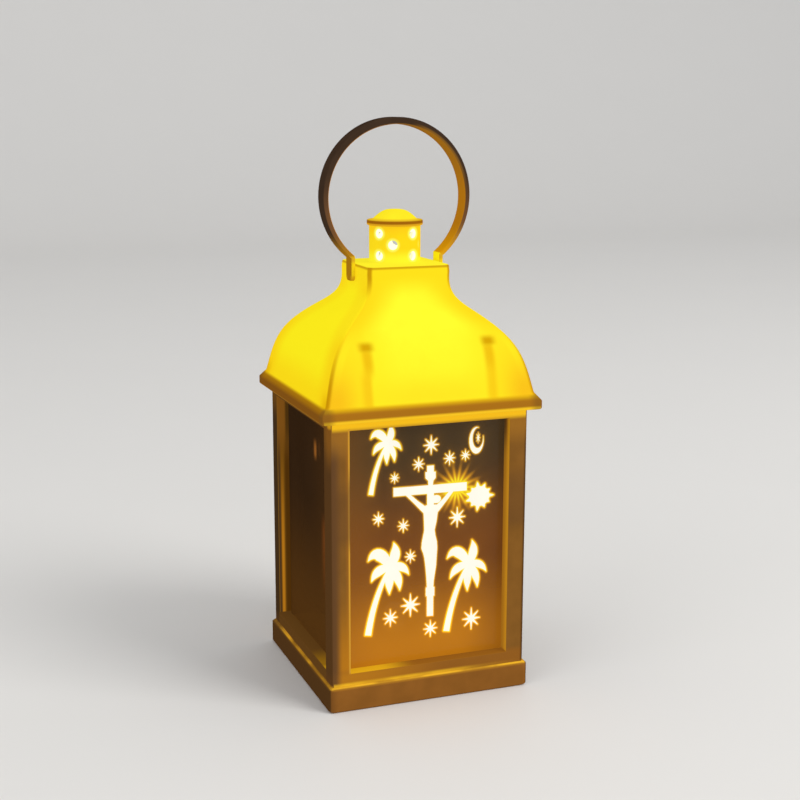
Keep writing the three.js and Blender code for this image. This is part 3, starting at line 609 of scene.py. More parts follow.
def makeRoof(material):
    wall, rimHalf, eaveFoot = roof["wall"], roof["rimHalf"], roof["eaveFoot"]
    under, top, steps = roof["plateUnder"], roof["plateTop"], roof["plateSteps"]
    profile = roofProfile()
    outer = [squareLoop(half, z, cornerAt(z)) for half, z in profile]
    # the inside follows the outside at the wall's thickness
    hollow = []
    for before, here, after in zip(profile, profile[1:], profile[2:]):
        along = Vector((after[0] - before[0], after[1] - before[1])).normalized()
        half, z = here[0] - wall * along.y, here[1] + wall * along.x
        rising = not hollow or z > hollow[-1][1]
        if half < rimHalf and z < under and rising and here[1] > roof["lipTop"]:
            hollow.append((half, z))
    inside = [(rimHalf, eaveFoot), (rimHalf, hollow[0][1] - wall), *hollow, (hollow[-1][0], under)]
    inner = [squareLoop(half, z, cornerAt(z) / 2) for half, z in inside]
    count, hole = len(outer[0]), roof["plateHole"]
    wide, high = roof["collarWidth"], roof["collarHeight"]
    collar = [
        roundLoop(hole + out * wide, top + up * high, count) for out, up in roof["collarProfile"]
    ]
    # between the round hole and the square walls the plate is led over in even steps
    plate = between(collar[-1], outer[-1], steps)
    bore = roundLoop(hole, under, count)
    loops = [bore, *collar, *plate, *outer[::-1], *inner, *between(inner[-1], bore, steps)]
    shell, sharpest = lofted(loops, True), roof["sharpest"]
    piece = addPiece("roofShell", shell, material, "lantern", sharpest)
    drill = bmesh.new()
    addRod(drill, *roof["pinHole"], lying(0, roof["pinZ"]))
    carve(piece, addPiece("pinDrill", drill, material), sharpest)
    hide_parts("roof_shell")


def roofHeight(half):
    # how high the slope is where the roof is that wide
    slope = [point for point in roofProfile() if point[1] > roof["foot"][1]]
    for (wide, low), (narrow, high) in zip(slope, slope[1:]):
        if narrow <= half:
            return low + (high - low) * (wide - half) / max(wide - narrow, 1e-6)
    return slope[-1][1]


def makePosts(material):
    # each post ends inside the wall of the shell, and the roof screws bite into its bore
    radius, bore = roof["postRadius"], roof["pilotRadius"]
    foot, depth = roof["eaveFoot"], roof["pilotDepth"]
    placeX, placeY = roof["postPlaces"]
    top = foot + 2 * depth
    profile = [(bore, foot), (radius, foot), (radius, top), (0, top), (0, foot + depth),
               (bore, foot + depth), (bore, foot)]
    for i, (sideX, sideY) in enumerate(((-1, -1), (1, -1), (-1, 1), (1, 1))):
        bm = spun(profile, roof["postSteps"], sideX * placeX, sideY * placeY)
        for v in bm.verts:
            if v.co.z > top - depth / 2:
                v.co.z = roofHeight(max(abs(v.co.x), abs(v.co.y)) + roof["wall"] / 2)
        addPiece("roofPost" + str(i + 1), bm, material, "lantern")


roofLook = {
    "colour": (255, 248, 46), "lit": 0.74, "gloss": 0.0,
    "drift": 0.02, "roughness": 0.4, "bump": 0.05,
}
# painted light and shade of the diodes inside: brightest in the middle of each face, oranger
# towards the ridges, on the side faces and low down, paler near the neck
roofLook["tintsAndPaintedLight"] = [
    tintAndPaintedLight((255, 238, 28), sideways=(-0.2, 0.4)),
    tintAndPaintedLight((252, 212, 22), 0.85, ridge=(10, 1)),
    tintAndPaintedLight((254, 236, 30), 0.6, sideways=onSide, ridge=(9, 2), z=(87, 92, 97, 100)),
    tintAndPaintedLight((252, 206, 20), 0.55, z=(84, 76)),
    tintAndPaintedLight((226, 174, 8), 0.6, sideways=onSide, ridge=(6, 1), z=(79, 75.5)),
    tintAndPaintedLight((254, 222, 27), z=(97, 103.4)),
    # on the front and back faces: painted light in the middle, and painted shade outboard of the
    # screw posts' shadows and low towards the ridges
    tintAndPaintedLight((252, 232, 36), 0.35, sideways=onFront, z=(92, 84)),
    tintAndPaintedLight((252, 202, 22), 0.7, sideways=wellOnFront, absX=(14.0, 15.8), z=(92, 84)),
    tintAndPaintedLight((252, 232, 34), 0.6, sideways=onFront, absX=(7, 14), z=(93, 88)),
    tintAndPaintedLight((246, 188, 26), 0.9, sideways=onFront, absX=(16, 24), z=(87, 76)),
    # painted shadows of the four screw posts, cast outwards on the front and back faces: orange
    # stems and dark T-shaped heads
    tintAndPaintedLight((240, 176, 16), 0.5, sideways=wellOnFront, x=(-18.4, -16.2, -15.6, -14.4),
         z=(74, 75, 80, 84)),
    tintAndPaintedLight((240, 180, 14), 0.5, sideways=wellOnFront, x=(-17.6, -15.4, -15.0, -13.4),
         z=(80, 84, 86, 88)),
    tintAndPaintedLight((240, 180, 14), 0.5, sideways=wellOnFront, x=(13.2, 14.9, 15.6, 17.4), z=(74, 75, 86, 88)),
    tintAndPaintedLight((222, 162, 2), 0.35, sideways=wellOnFront, absX=(13.4, 15.0, 15.7, 17.2),
         z=(80, 84.5, 86.4, 87.4)),
    tintAndPaintedLight((206, 148, 0), 0.85, sideways=wellOnFront, x=(-18.0, -15.6, -14.8, -12.5),
         z=(86.3, 87.5, 87.9, 89.4)),
    tintAndPaintedLight((206, 148, 0), 0.85, sideways=wellOnFront, x=(13.0, 15.2, 16.0, 18.5),
         z=(86.3, 87.5, 87.9, 89.4)),
    # painted shade along the rounded ridges, low down and under the neck, a painted dark line under
    # the top plate's edge, and the plate's top painted bright
    tintAndPaintedLight((196, 138, 6), 0.9, ridge=(1.2, 0.2), z=(92, 78)),
    tintAndPaintedLight((200, 144, 8), 0.9, ridge=(1.3, 0.4), z=(97, 103)),
    tintAndPaintedLight((190, 138, 14), 0.75, z=(104.1, 104.6, 104.8, 105.0), reach=(9.9, 10.2)),
    tintAndPaintedLight((252, 238, 44), z=(104.8, 104.98)),
    # the eave: painted shade in the cove and on the lip, darker on the side faces and near the
    # corners, a painted bright line along the lower edge of the front and back, and a paler line
    # low on the sides
    tintAndPaintedLight((220, 170, 20), z=(75.1, 74.2)),
    tintAndPaintedLight((168, 110, 26), z=(74.6, 73.4)),
    tintAndPaintedLight((160, 108, 15), 0.9, z=(75.0, 74.1), sideways=(-0.2, 0.4)),
    tintAndPaintedLight((124, 77, 23), 0.9, z=(74.1, 72.9), sideways=(-0.2, 0.4)),
    tintAndPaintedLight((255, 204, 38), 0.9, z=(72.3, 71.6), sideways=onFront),
    tintAndPaintedLight((170, 118, 38), 0.8, z=(71.7, 71.35), sideways=(-0.2, 0.4)),
    tintAndPaintedLight((120, 82, 32), 0.55, z=(75.0, 74.4), near=(24.0, 26.5)),
]
roofPlastic = moulded("litRoofPlastic", roofLook)
makeRoof(roofPlastic)
makePosts(roofPlastic)
print("roof made")

# Chimney: a pierced tube, with painted light brightest in its bore and around its holes
chimney = {
    "bore": 5.15,
    "outside": 6.35,
    "flange": 7.6,
    "foot": 102.8,
    "flangeTop": 103.5,
    "top": 114.4,
    "steps": 96,
    "edge": 0.1,
    "edgeAngle": 50,
}


def makeChimney(material):
    bore, outside, flange = chimney["bore"], chimney["outside"], chimney["flange"]
    foot, flangeTop, top = chimney["foot"], chimney["flangeTop"], chimney["top"]
    bm = spun([
        (bore, foot), (flange, foot), (flange, flangeTop), (outside, flangeTop), (outside, top),
        (bore, top), (bore, foot),
    ], chimney["steps"])
    piece = addPiece("chimneyTube", bm, material, "lantern")
    drills = bmesh.new()
    for bearing, rows in holes["rows"].items():
        for turn in (0, 180):
            for row in rows:
                height = holes["middle"] + row * holes["spread"]
                place = (
                    Matrix.Rotation(radians(bearing + turn), 4, "Z")
                    @ Matrix.Translation((0, -holes["drillMiddle"], height))
                    @ Matrix.Rotation(pi / 2, 4, "X")
                )
                addRod(drills, holes["radius"], holes["drillLength"], holes["drillSteps"], place)
    carve(piece, addPiece("drills", drills, material))
    edges = piece.modifiers.new("edges", "BEVEL")
    edges.width = chimney["edge"] * mm
    edges.segments = 2
    edges.limit_method = "ANGLE"
    edges.angle_limit = radians(chimney["edgeAngle"])
    settle(piece)
    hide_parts("chimney_tube")


# painted light of the diodes inside: a glow added in the bore, and tints that paint the tube paler
# on its left and low down, oranger near the top and on the front right, bright round each hole and
# nearly white in the bore
chimneyLook = {
    "colour": (252, 214, 24), "lit": 0.76, "gloss": 0.0, "drift": 0.03, "bump": 0.05,
    "glows": [tintAndPaintedLight((190, 185, 150), around=(6.3, 6.0), x=(4.7, 4.4))],
}
chimneyLook["tintsAndPaintedLight"] = [
    tintAndPaintedLight((255, 232, 34), 0.4, x=(-2, -6)),
    tintAndPaintedLight((254, 244, 44), z=(109, 106)),
    tintAndPaintedLight((255, 206, 26), 0.8, z=(111.5, 113.5)),
    tintAndPaintedLight((255, 250, 96), byHole=(1.95, 1.25)),
    tintAndPaintedLight((255, 253, 205), around=(6.3, 6.0)),
    tintAndPaintedLight((252, 212, 24), x=(4.4, 4.7), y=(-1.0, -2.0), z=(106, 107)),
]
makeChimney(moulded("litChimneyPlastic", chimneyLook))

chimneyCap = {
    "profile": [
        (3.8, 112.6), (4.9, 112.6), (4.9, 114.4), (6.42, 114.4), (6.5, 114.2), (6.68, 114.12),
        (6.82, 114.17), (6.9, 114.35), (6.9, 115.1), (6.85, 115.3), (6.68, 115.42), (6.3, 115.44),
        (5.9, 115.46),
    ],
    "domeFoot": (5.6, 115.53),
    "footHandle": (4.7, 116.15),
    "crownHandle": (3.4, 117.9),
    "crown": (1.2, 117.9),
    "inside": (3.8, 115.4),
    "crownUnder": 116.8,
    "domeSteps": 16,
    "steps": 96,
}


def makeCap(material):
    dome = [chimneyCap[name] for name in ("domeFoot", "footHandle", "crownHandle", "crown")]
    profile = chimneyCap["profile"] + bezier(*dome, chimneyCap["domeSteps"])
    profile += [(0, dome[-1][1]), (0, chimneyCap["crownUnder"]), chimneyCap["inside"], profile[0]]
    bm = spun(profile, chimneyCap["steps"])
    piece = addPiece("chimneyCap", bm, material, "lantern")
    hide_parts("chimney_cap")


# painted light: a glow added inside the spigot where the bore shines up, and tints that paint the
# dome darker towards its foot, painted shade on the rim and its lower edge, and the spigot's inside
# nearly white
capLook = {
    "colour": (254, 233, 38), "lit": 0.76, "gloss": 0.0, "drift": 0.03, "bump": 0.05,
    "glows": [tintAndPaintedLight((190, 185, 150), around=(5.3, 5.0), z=(114.3, 114.0))],
}
capLook["tintsAndPaintedLight"] = [
    tintAndPaintedLight((232, 188, 36), z=(116.0, 115.4)),
    tintAndPaintedLight((158, 97, 14), z=(115.5, 115.2)),
    tintAndPaintedLight((224, 166, 30), z=(114.8, 114.4)),
    tintAndPaintedLight((255, 253, 205), around=(5.3, 5.0), z=(114.3, 114.0)),
]
makeCap(moulded("litCapPlastic", capLook))
print("chimney made")

# Carrying ring: a hoop, thickest at its crown, with a flat tab and a pin on each side
ring = {
    "cornerRadius": 0.22,
    "cornerSteps": 3,
    "tabInner": 11.05,
    "tabOuter": 11.95,
    "tabFoot": 100.8,
    "footRadius": 1.2,
    "hoopSteps": 128,
    "footSteps": 8,
    "pinRadius": 0.85,
    "pinInner": 8.15,
    "pinSteps": 32,
    "pinEdge": 0.15,
}


def hoopInside(angle):
    # how far the inner circle is from the outer one's middle along an angle
    along = (hoop["innerZ"] - hoop["centreZ"]) * sin(angle)
    drop = hoop["centreZ"] - hoop["innerZ"]
    return along + sqrt(along * along + hoop["innerRadius"] ** 2 - drop * drop)


def makeRing(material):
    tabInner, tabOuter, wide = ring["tabInner"], ring["tabOuter"], hoop["width"] / 2
    corner, foot, steps = ring["cornerRadius"], ring["footRadius"], ring["hoopSteps"]

    def section(inner, outer, halfWide):
        # a rounded strip section: distance from the axis and place across its width
        middle, across = (inner + outer) / 2, (outer - inner) / 2
        points = []
        for quarter, (signS, signY) in enumerate(((1, 1), (-1, 1), (-1, -1), (1, -1))):
            centre = (middle + signS * (across - corner), signY * (halfWide - corner))
            start = 90 * quarter
            points += arc(centre, corner, start, start + 90, ring["cornerSteps"])
        return points

    def tab(side, height, halfWide=wide):
        return [Vector((side * s, y, height(s))) for s, y in section(tabInner, tabOuter, halfWide)]

    def mitre(s):
        # the tab meets the hoop along a line between the two circles' ends
        outerZ = hoop["centreZ"] - sqrt(hoop["radius"] ** 2 - tabOuter ** 2)
        innerZ = hoop["innerZ"] - sqrt(hoop["innerRadius"] ** 2 - tabInner ** 2)
        return innerZ + (outerZ - innerZ) * (s - tabInner) / (tabOuter - tabInner)

    feet = [
        (ring["tabFoot"] + foot * (1 - cos(angle)), wide - foot * (1 - sin(angle)))
        for angle in (i / ring["footSteps"] * pi / 2 for i in range(ring["footSteps"] + 1))
    ]
    loops = [tab(-1, lambda s: z, halfWide) for z, halfWide in feet] + [tab(-1, mitre)]
    start = -acos(tabOuter / hoop["radius"])
    for i in range(1, steps):
        angle = pi - start - (pi - 2 * start) * i / steps
        loops.append([
            Vector((s * cos(angle), y, hoop["centreZ"] + s * sin(angle)))
            for s, y in section(hoopInside(angle), hoop["radius"], wide)
        ])
    loops += [tab(1, mitre)] + [tab(1, lambda s: z, halfWide) for z, halfWide in feet[::-1]]
    bm = lofted(loops)
    bmesh.ops.holes_fill(bm, edges=[edge for edge in bm.edges if edge.is_boundary])
    inner, middle = ring["pinInner"], (tabInner + tabOuter) / 2
    for side in (-1, 1):
        place = lying(side * (inner + middle) / 2, roof["pinZ"])
        pin = addRod(bm, ring["pinRadius"], middle - inner, ring["pinSteps"], place)
        rims = [edge for edge in bm.edges if all(v in pin for v in edge.verts)
                and edge.calc_face_angle(0) > radians(usualSharpest)]
        bmesh.ops.bevel(bm, geom=rims, offset=ring["pinEdge"], offset_type="OFFSET", segments=2,
                        profile=0.5, affect="EDGES", material=-1)
    outward(bm)
    piece = addPiece("carryingRing", bm, material, "ring")
    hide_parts("carrying_ring")


# painted light from the glowing roof below: a lit share glows, the flat faces are paler low down,
# the inner faces and the tabs are painted amber and yellow where the light falls, the right side
# brighter than the left, and the inner crown darker
ringLook = {"colour": (62, 46, 34), "lit": 0.4, "gloss": 0.0, "roughness": 0.38}
ringLook["tintsAndPaintedLight"] = [
    tintAndPaintedLight((112, 76, 46), absY=(2.1, 2.25), z=(128, 112)),
    tintAndPaintedLight((180, 118, 20), fromHoop=(17.95, 17.75)),
    tintAndPaintedLight((110, 80, 46), 0.8, fromHoop=(17.95, 17.75), z=(135.5, 139.5)),
    tintAndPaintedLight((222, 158, 12), 0.9, z=(115, 106), x=(2, 6)),
    tintAndPaintedLight((180, 126, 18), 0.85, z=(113, 106), x=(-2, -6)),
    tintAndPaintedLight((152, 104, 32), 0.6, fromHoop=(18.6, 18.1), x=(3, 9), z=(120, 131)),
    tintAndPaintedLight((255, 240, 24), absX=(11.35, 11.15), z=(107.4, 106.8)),
    tintAndPaintedLight((214, 168, 34), absY=(1.9, 2.1), z=(107.2, 106.4)),
    tintAndPaintedLight((238, 204, 22), absY=(1.9, 2.1), z=(106.0, 104.8)),
    tintAndPaintedLight((206, 154, 26), 0.8, absY=(0.9, 1.5), z=(102.4, 101.6)),
]
makeRing(moulded("ringPlastic", ringLook))
print("ring made")

# Body, plinth, deck and door: the CAD meshes with their long edges rounded
# the lit shares paint a glow into these plastics, standing in for the light from inside
framePieces = {
    "bodyFrame": {
        "node": "body_frame", "body": "lantern", "bevel": 0.28, "least": 3.0,
        "colour": (128, 86, 36), "lit": 0.62, "gloss": 0.0,
    },
    "plinthTray": {
        "node": "base_tray", "body": "lantern", "bevel": 0.2, "least": 4.0,
        "colour": (136, 87, 35), "lit": 0.62, "gloss": 0.0,
    },
    "lightDeck": {
        "node": "light_deck", "body": "lantern", "bevel": 0.15, "least": 4.0,
        "colour": (200, 134, 36), "lit": 0.5,
    },
    "batteryDoor": {
        "node": "battery_door", "body": "door", "bevel": 0.15, "least": 2.0,
        "colour": (112, 73, 32), "lit": 0.4, "gloss": 0.0,
    },
}

# The windows' reveals, and in them what lies behind the faces
inWindow, inside = (20.9, 20.5), (25.15, 24.95)
framePieces["bodyFrame"]["tintsAndPaintedLight"] = [
    # front and back faces: painted light warmer beside the windows and low on the left, a paler
    # bottom rail and top, and painted shade on the outer pillar corners, across the middle and at
    # the right edge
    tintAndPaintedLight((158, 101, 33), 0.7, near=(21.9, 20.6), x=(6, -6)),
    tintAndPaintedLight((182, 117, 26), 0.9, z=(34, 10), x=(-12, -20), near=(24.9, 22.8)),
    tintAndPaintedLight((145, 91, 32), 0.8, z=(11, 9)),
    tintAndPaintedLight((178, 116, 29), 0.9, z=(11, 8.5), x=(6, -18)),
    tintAndPaintedLight((96, 66, 40), 0.9, near=(22.2, 24.4), x=(6, -6)),
    tintAndPaintedLight((100, 68, 38), 0.5, z=(40, 44, 52, 58), sideways=onFront),
    tintAndPaintedLight((70, 46, 25), x=(24.0, 25.0)),
    tintAndPaintedLight((158, 107, 38), 0.8, z=(61, 68)),
    # side faces: painted shade, darker towards the back and paler near the top, with a painted
    # bright spot at the front top corner of the left side
    tintAndPaintedLight((84, 56, 28), sideways=onSide),
    tintAndPaintedLight((63, 45, 26), 0.9, sideways=onSide, y=(0, 20)),
    tintAndPaintedLight((112, 74, 26), 0.7, sideways=onSide, z=(62, 69)),
    tintAndPaintedLight((130, 84, 30), 0.9, sideways=onSide, z=(58, 67), y=(-19, -24)),
    tintAndPaintedLight((214, 156, 30), sideways=onSide, z=(69.2, 70.2), y=(-22.4, -24.2), x=(0, -1)),
    tintAndPaintedLight((98, 62, 30), 0.4, sideways=onSide, z=(10, 7.5)),
    # a painted bright line under the eave on the front and back
    tintAndPaintedLight((255, 200, 34), z=(68.5, 70.0), sideways=onFront),
    # the window reveals: painted glow on jambs, heads and sills, with painted shade deeper in and
    # on the side windows, and painted bright spots near the front of the side sills
    tintAndPaintedLight((192, 134, 28), near=inWindow, reach=inside),
    tintAndPaintedLight((134, 82, 24), near=inWindow, reach=(25.0, 22.4)),
    tintAndPaintedLight((72, 50, 26), 0.8, near=inWindow, reach=(24.4, 22.4), z=(50, 66)),
    tintAndPaintedLight((204, 142, 34), 0.6, near=inWindow, reach=(25.2, 25.05), x=(20.3, 20.45), z=(68, 58)),
    tintAndPaintedLight((82, 58, 34), near=inWindow, reach=(25.1, 24.9), sideways=onSide),
    tintAndPaintedLight((118, 78, 20), near=inWindow, reach=(24.7, 24.2), sideways=onSide),
    tintAndPaintedLight((88, 54, 12), near=inWindow, reach=(23.6, 22.8), sideways=onSide),
    tintAndPaintedLight((194, 126, 28), near=inWindow, reach=(24.4, 24.1, 23.8, 23.2), z=(58, 26),
         sideways=onSide),
    tintAndPaintedLight((134, 86, 27), near=inWindow, reach=(25.15, 24.9), z=(50, 62), sideways=onSide),
    tintAndPaintedLight((84, 56, 18), near=inWindow, reach=(23.2, 22.6), z=(50, 62), sideways=onSide),
    tintAndPaintedLight((148, 93, 26), near=inWindow, reach=inside, z=(9.6, 9.35)),
    tintAndPaintedLight((224, 168, 26), near=inWindow, reach=inside, z=(9.6, 9.35), x=(-3, -13)),
    tintAndPaintedLight((98, 65, 26), near=inWindow, reach=(25.25, 25.18), z=(9.9, 9.7), sideways=onSide),
    tintAndPaintedLight((176, 126, 16), 0.6, near=inWindow, reach=inside, z=(12, 9.3), y=(-6, -17),
         sideways=onSide),
    tintAndPaintedLight((196, 146, 20), near=inWindow, reach=inside, z=(12, 9.3), y=(-17, -19), sideways=onSide),
    # a painted bright line along the left edge of the front opening, dimmer in the middle
    tintAndPaintedLight((206, 150, 50), x=(-21.0, -20.65, -20.4, -20.2), sideways=(-3, -4),
         z=(9.0, 9.8, 69.2, 69.6)),
    tintAndPaintedLight((128, 92, 46), 0.8, x=(-21.0, -20.65, -20.4, -20.2), sideways=(-3, -4),
         z=(38, 44, 54, 62)),
    # a painted bright seam of leaking light along the foot, broken up by noise
    tintAndPaintedLight((240, 184, 40), blotch=(9.0, 0.5), z=(7.4, 6.6), sideways=onFront, x=(26, -8)),
    tintAndPaintedLight((206, 144, 40), blotch=(8.0, 0.1), z=(6.9, 6.4), sideways=onSide),
]
# painted shade on the side faces and at the left end of the front, and a painted bright seam of
# leaking light along the top edge, broken up by noise; darker underneath
framePieces["plinthTray"]["tintsAndPaintedLight"] = [
    tintAndPaintedLight((96, 60, 28), 0.5, x=(-23.5, -25.8)),
    tintAndPaintedLight((80, 53, 26), sideways=onSide),
    tintAndPaintedLight((104, 76, 30), 0.6, z=(5.6, 6.1), sideways=onSide),
    tintAndPaintedLight((196, 136, 34), 0.5, z=(5.5, 6.1), sideways=onFront),
    tintAndPaintedLight((238, 180, 44), blotch=(8.0, 0.3), z=(5.8, 6.1), reach=(25.85, 25.6)),
    tintAndPaintedLight((130, 60, 10), 0.3, z=(5.8, 6.1), sideways=onSide),
    tintAndPaintedLight((96, 68, 36), 0.6, z=(5.8, 6.1), sideways=onSide, y=(10, 22)),
    tintAndPaintedLight((104, 68, 30), z=(0.35, 0.1)),
]
for name, spec in framePieces.items():
    bm = nodeCopy(spec["node"], spec["bevel"], spec["least"])
    piece = addPiece(name, bm, moulded(name + "Plastic", spec), spec["body"])
    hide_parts(spec["node"])
print("frame pieces rounded")

# Engraved picture: palms, stars, a crescent, a plain cross with a figure and a radiant flower,
# each a thin plate in the front face of the pane
picture = {
    "back": -21.8,
    "front": -21.96,
    "leaves": [
        ((-3.3, 5.8), (-5.7, 2.0), 1.35),
        ((2.0, 3.2), (0.85, 6.0), 1.15),
        ((3.3, 0.5), (4.75, -2.45), 0.95),
        ((-3.6, -0.1), (-4.85, -3.25), 1.05),
        ((-0.4, -3.4), (-0.25, -6.9), 1.05),
        ((2.4, -2.7), (2.4, -6.2), 1.0),
    ],
    "trunk": ((-0.7, -1.2), (-4.4, -8.0), (-5.75, -16.7)),
    "leafBelly": (0.55, 0.45),
    "leafTip": 1.02,
    "leafSteps": 12,
    "trunkHalf": (0.42, 0.76),
    "trunkShare": 0.1,
    "palms": [((-9.9, 64.5), 0.73, 1.0), ((-9.15, 33.85), 1.0, 1.1), ((11.35, 32.3), 1.0, 0.98)],
    "stars": [
        ((1.25, 63.2), 2.5), ((-1.95, 58.7), 1.85), ((6.03, 59.55), 1.85), ((10.2, 59.95), 1.5),
        ((-8.1, 55.85), 1.45), ((-12.2, 46.1), 1.85), ((-5.85, 43.8), 1.8), ((8.2, 44.55), 2.7),
        ((-4.0, 35.9), 1.8), ((-3.95, 23.5), 3.15), ((-9.15, 20.85), 2.35), ((1.33, 16.8), 2.3),
        ((12.25, 18.0), 3.05),
    ],
    "starTips": (0.92, 0.82, 0.76, 0.82),
    "starValley": 0.27,
    "starWaist": (0.5, 0.06),
    "starTip": 0.015,
    "crescent": ((13.05, 63.4), 1.85, 3.3),
    "outerArc": ((0, 0), 1.0, 78, 375, 26),
    "innerArc": ((0.2, 0.18), 0.78, 368, 84, 22),
    "crescentStar": ((13.5, 64.0), 1.35, 0.45),
    "flower": ((14.0, 49.3), (3.24, 3.0)),
    "petals": (1.18, 1.02, 1.1, 1.2, 0.98, 1.1, 1.12, 1.0, 1.22, 1.04, 0.98),
    "petalFoot": 0.82,
    "petalPoints": 8,
    "layer": 0.004,
    "sharpest": 30,
}


def thicken(bm, outline, layer):
    # overlapping outlines of one motif stand in layers
    back, front = picture["back"], picture["front"] - layer * picture["layer"]
    face = bm.faces.new([bm.verts.new((x, back, z)) for x, z in outline])
    grown = bmesh.ops.extrude_face_region(bm, geom=[face], use_keep_orig=True)["geom"]
    bmesh.ops.translate(bm, vec=(0, front - back, 0), verts=grownVerts(grown))


def placed(points, centre, sizeX, sizeZ):
    return [(centre[0] + sizeX * x, centre[1] + sizeZ * z) for x, z in points]


def ribbon(spine, halves):
    # an outline either side of a spine, with a half width at each point
    left, right = [], []
    before, after = spine[:1] + spine, spine[1:] + spine[-1:]
    for last, (x, z), following, half in zip(before, spine, after, halves):
        along = (Vector(following) - Vector(last)).normalized() * half
        left.append((x - along.y, z + along.x))
        right.append((x + along.y, z - along.x))
    return left + right[::-1]


def curve(start, middle, end, steps):
    return [
        tuple(
            (1 - t) ** 2 * a + 2 * t * (1 - t) * b + t * t * c
            for a, b, c in zip(start, middle, end)
        )
        for t in (i / steps for i in range(steps + 1))
    ]


def palmOutlines(crown, scale, fat):
    steps = picture["leafSteps"]
    shares = [i / steps for i in range(steps + 1)]
    narrow, belly = picture["leafBelly"]
    low, high = picture["trunkHalf"]
    outlines = []
    for middle, tip, half in picture["leaves"]:
        halves = [
            fat * half * (narrow + belly * sin(pi * t)) * (picture["leafTip"] - t ** 4)
            for t in shares
        ]
        outlines.append(ribbon(curve((0, 0), middle, tip, steps), halves))
    # a fatter palm's trunk grows by only a share of what its leaves do
    share = picture["trunkShare"]
    trunk = [(low + (high - low) * t) * (1 - share + share * fat) for t in shares]
    outlines.append(ribbon(curve(*picture["trunk"], steps), trunk))
    return [placed(outline, crown, scale, scale) for outline in outlines]


def starOutline(centre, size, squeeze=1.0):
    # eight needle rays with a valley before each
    waist, half = picture["starWaist"]
    tip, rays = picture["starTip"], 8
    outline = []
    for i in range(rays):
        angle = pi / 2 + i * 2 * pi / rays
        along, across = Vector((cos(angle), sin(angle))), Vector((-sin(angle), cos(angle)))
        reach, valley = picture["starTips"][i % 4], angle - pi / rays
        outline += [
            Vector((cos(valley), sin(valley))) * picture["starValley"],
            along * waist - across * half,
            along * reach - across * tip,
            along * reach + across * tip,
            along * waist + across * half,
        ]
    return placed(outline, centre, size * squeeze, size)


def crescentOutline(centre, halfWidth, halfHeight):
    # an outer arc open at the upper right, closed by a narrower inner one
    points = arc(*picture["outerArc"]) + arc(*picture["innerArc"])
    return placed(points, centre, halfWidth, halfHeight)


def flowerOutline(centre, radii):
    # the petals reach out unevenly from one ring of hollows
    petals, low, points = picture["petals"], picture["petalFoot"], picture["petalPoints"]
    outline = []
    for i in range(points * len(petals)):
        angle = 2 * pi * i / (points * len(petals))
        wave = 0.5 + 0.5 * cos(len(petals) * angle)
        petal = petals[(i + points // 2) // points % len(petals)]
        reach = low + (petal - low) * wave ** 3
        outline.append((reach * cos(angle), reach * sin(angle)))
    return placed(outline, centre, *radii)


crossShapes = {
    "top": [(0.25, 58.1), (1.95, 58.1), (1.95, 56.3), (0.25, 56.3)],
    "plate": [(-0.2, 56.6), (2.4, 56.5), (2.45, 55.0), (1.85, 54.35), (1.7, 53.2), (0.6, 53.2),
              (0.55, 54.4), (-0.15, 55.1)],
    "beam": [(-8.35, 53.4), (10.6, 53.15), (10.6, 51.1), (-8.35, 51.35)],
    "upright": [(0.3, 52.6), (2.0, 52.6), (2.0, 20.05), (0.42, 20.15)],
    "foot": [(0.1, 27.5), (2.3, 27.4), (2.3, 25.2), (0.1, 25.3)],
    "headArc": ((0, 0), 1, 0, 345, 23),
    "headCentre": (2.6, 49.65),
    "headSize": (1.25, 1.0),
    "leftArm": [
        ((-4.9, 51.6), 0.42), ((-2.6, 49.35), 0.5), ((-0.4, 47.3), 0.75), ((0.9, 46.4), 1.0),
    ],
    "rightArm": [
        ((6.9, 51.6), 0.42), ((4.9, 49.3), 0.5), ((2.9, 47.3), 0.75), ((1.5, 46.4), 1.0),
    ],
    "figure": [
        (48.3, -0.1, 2.7), (47.2, -0.7, 3.1), (45.8, -0.55, 2.95), (44.0, -0.45, 2.7),
        (42.0, -0.4, 2.25), (40.6, -0.7, 2.45), (39.0, -1.0, 2.85), (37.5, -1.1, 2.95),
        (36.4, -0.65, 2.9), (35.0, -0.3, 2.8), (33.0, -0.05, 2.7), (31.0, 0.15, 2.4),
        (29.0, 0.3, 2.1), (27.2, 0.4, 2.0),
    ],
}


def crossOutlines():
    # the cross's plain parts, then the figure, its head and its arms
    sides = crossShapes["figure"]
    figure = [(left, z) for z, left, right in sides]
    figure += [(right, z) for z, left, right in sides[::-1]]
    circle = arc(*crossShapes["headArc"])
    oval = placed(circle, crossShapes["headCentre"], *crossShapes["headSize"])
    arms = [ribbon(*map(list, zip(*crossShapes[side]))) for side in ("leftArm", "rightArm")]
    plain = [crossShapes[name] for name in ("top", "plate", "beam", "upright", "foot")]
    return plain + [figure, oval] + arms


def makePicture(material):
    motifs = {"engravedCross": crossOutlines()}
    for i, palm in enumerate(picture["palms"]):
        motifs["engravedPalm" + str(i + 1)] = palmOutlines(*palm)
    for i, star in enumerate(picture["stars"]):
        motifs["engravedStar" + str(i + 1)] = [starOutline(*star)]
    motifs["engravedCrescent"] = [
        crescentOutline(*picture["crescent"]), starOutline(*picture["crescentStar"]),
    ]
    motifs["engravedFlower"] = [flowerOutline(*picture["flower"])]
    for name, outlines in motifs.items():
        bm = bmesh.new()
        for i, outline in enumerate(outlines):
            thicken(bm, outline, i)
        outward(bm)
        addPiece(name, bm, material, "lantern", picture["sharpest"])
    return [
        (outline, name.startswith(("engravedPalm", "engravedFlower")))
        for name, outlines in motifs.items() for outline in outlines
    ]


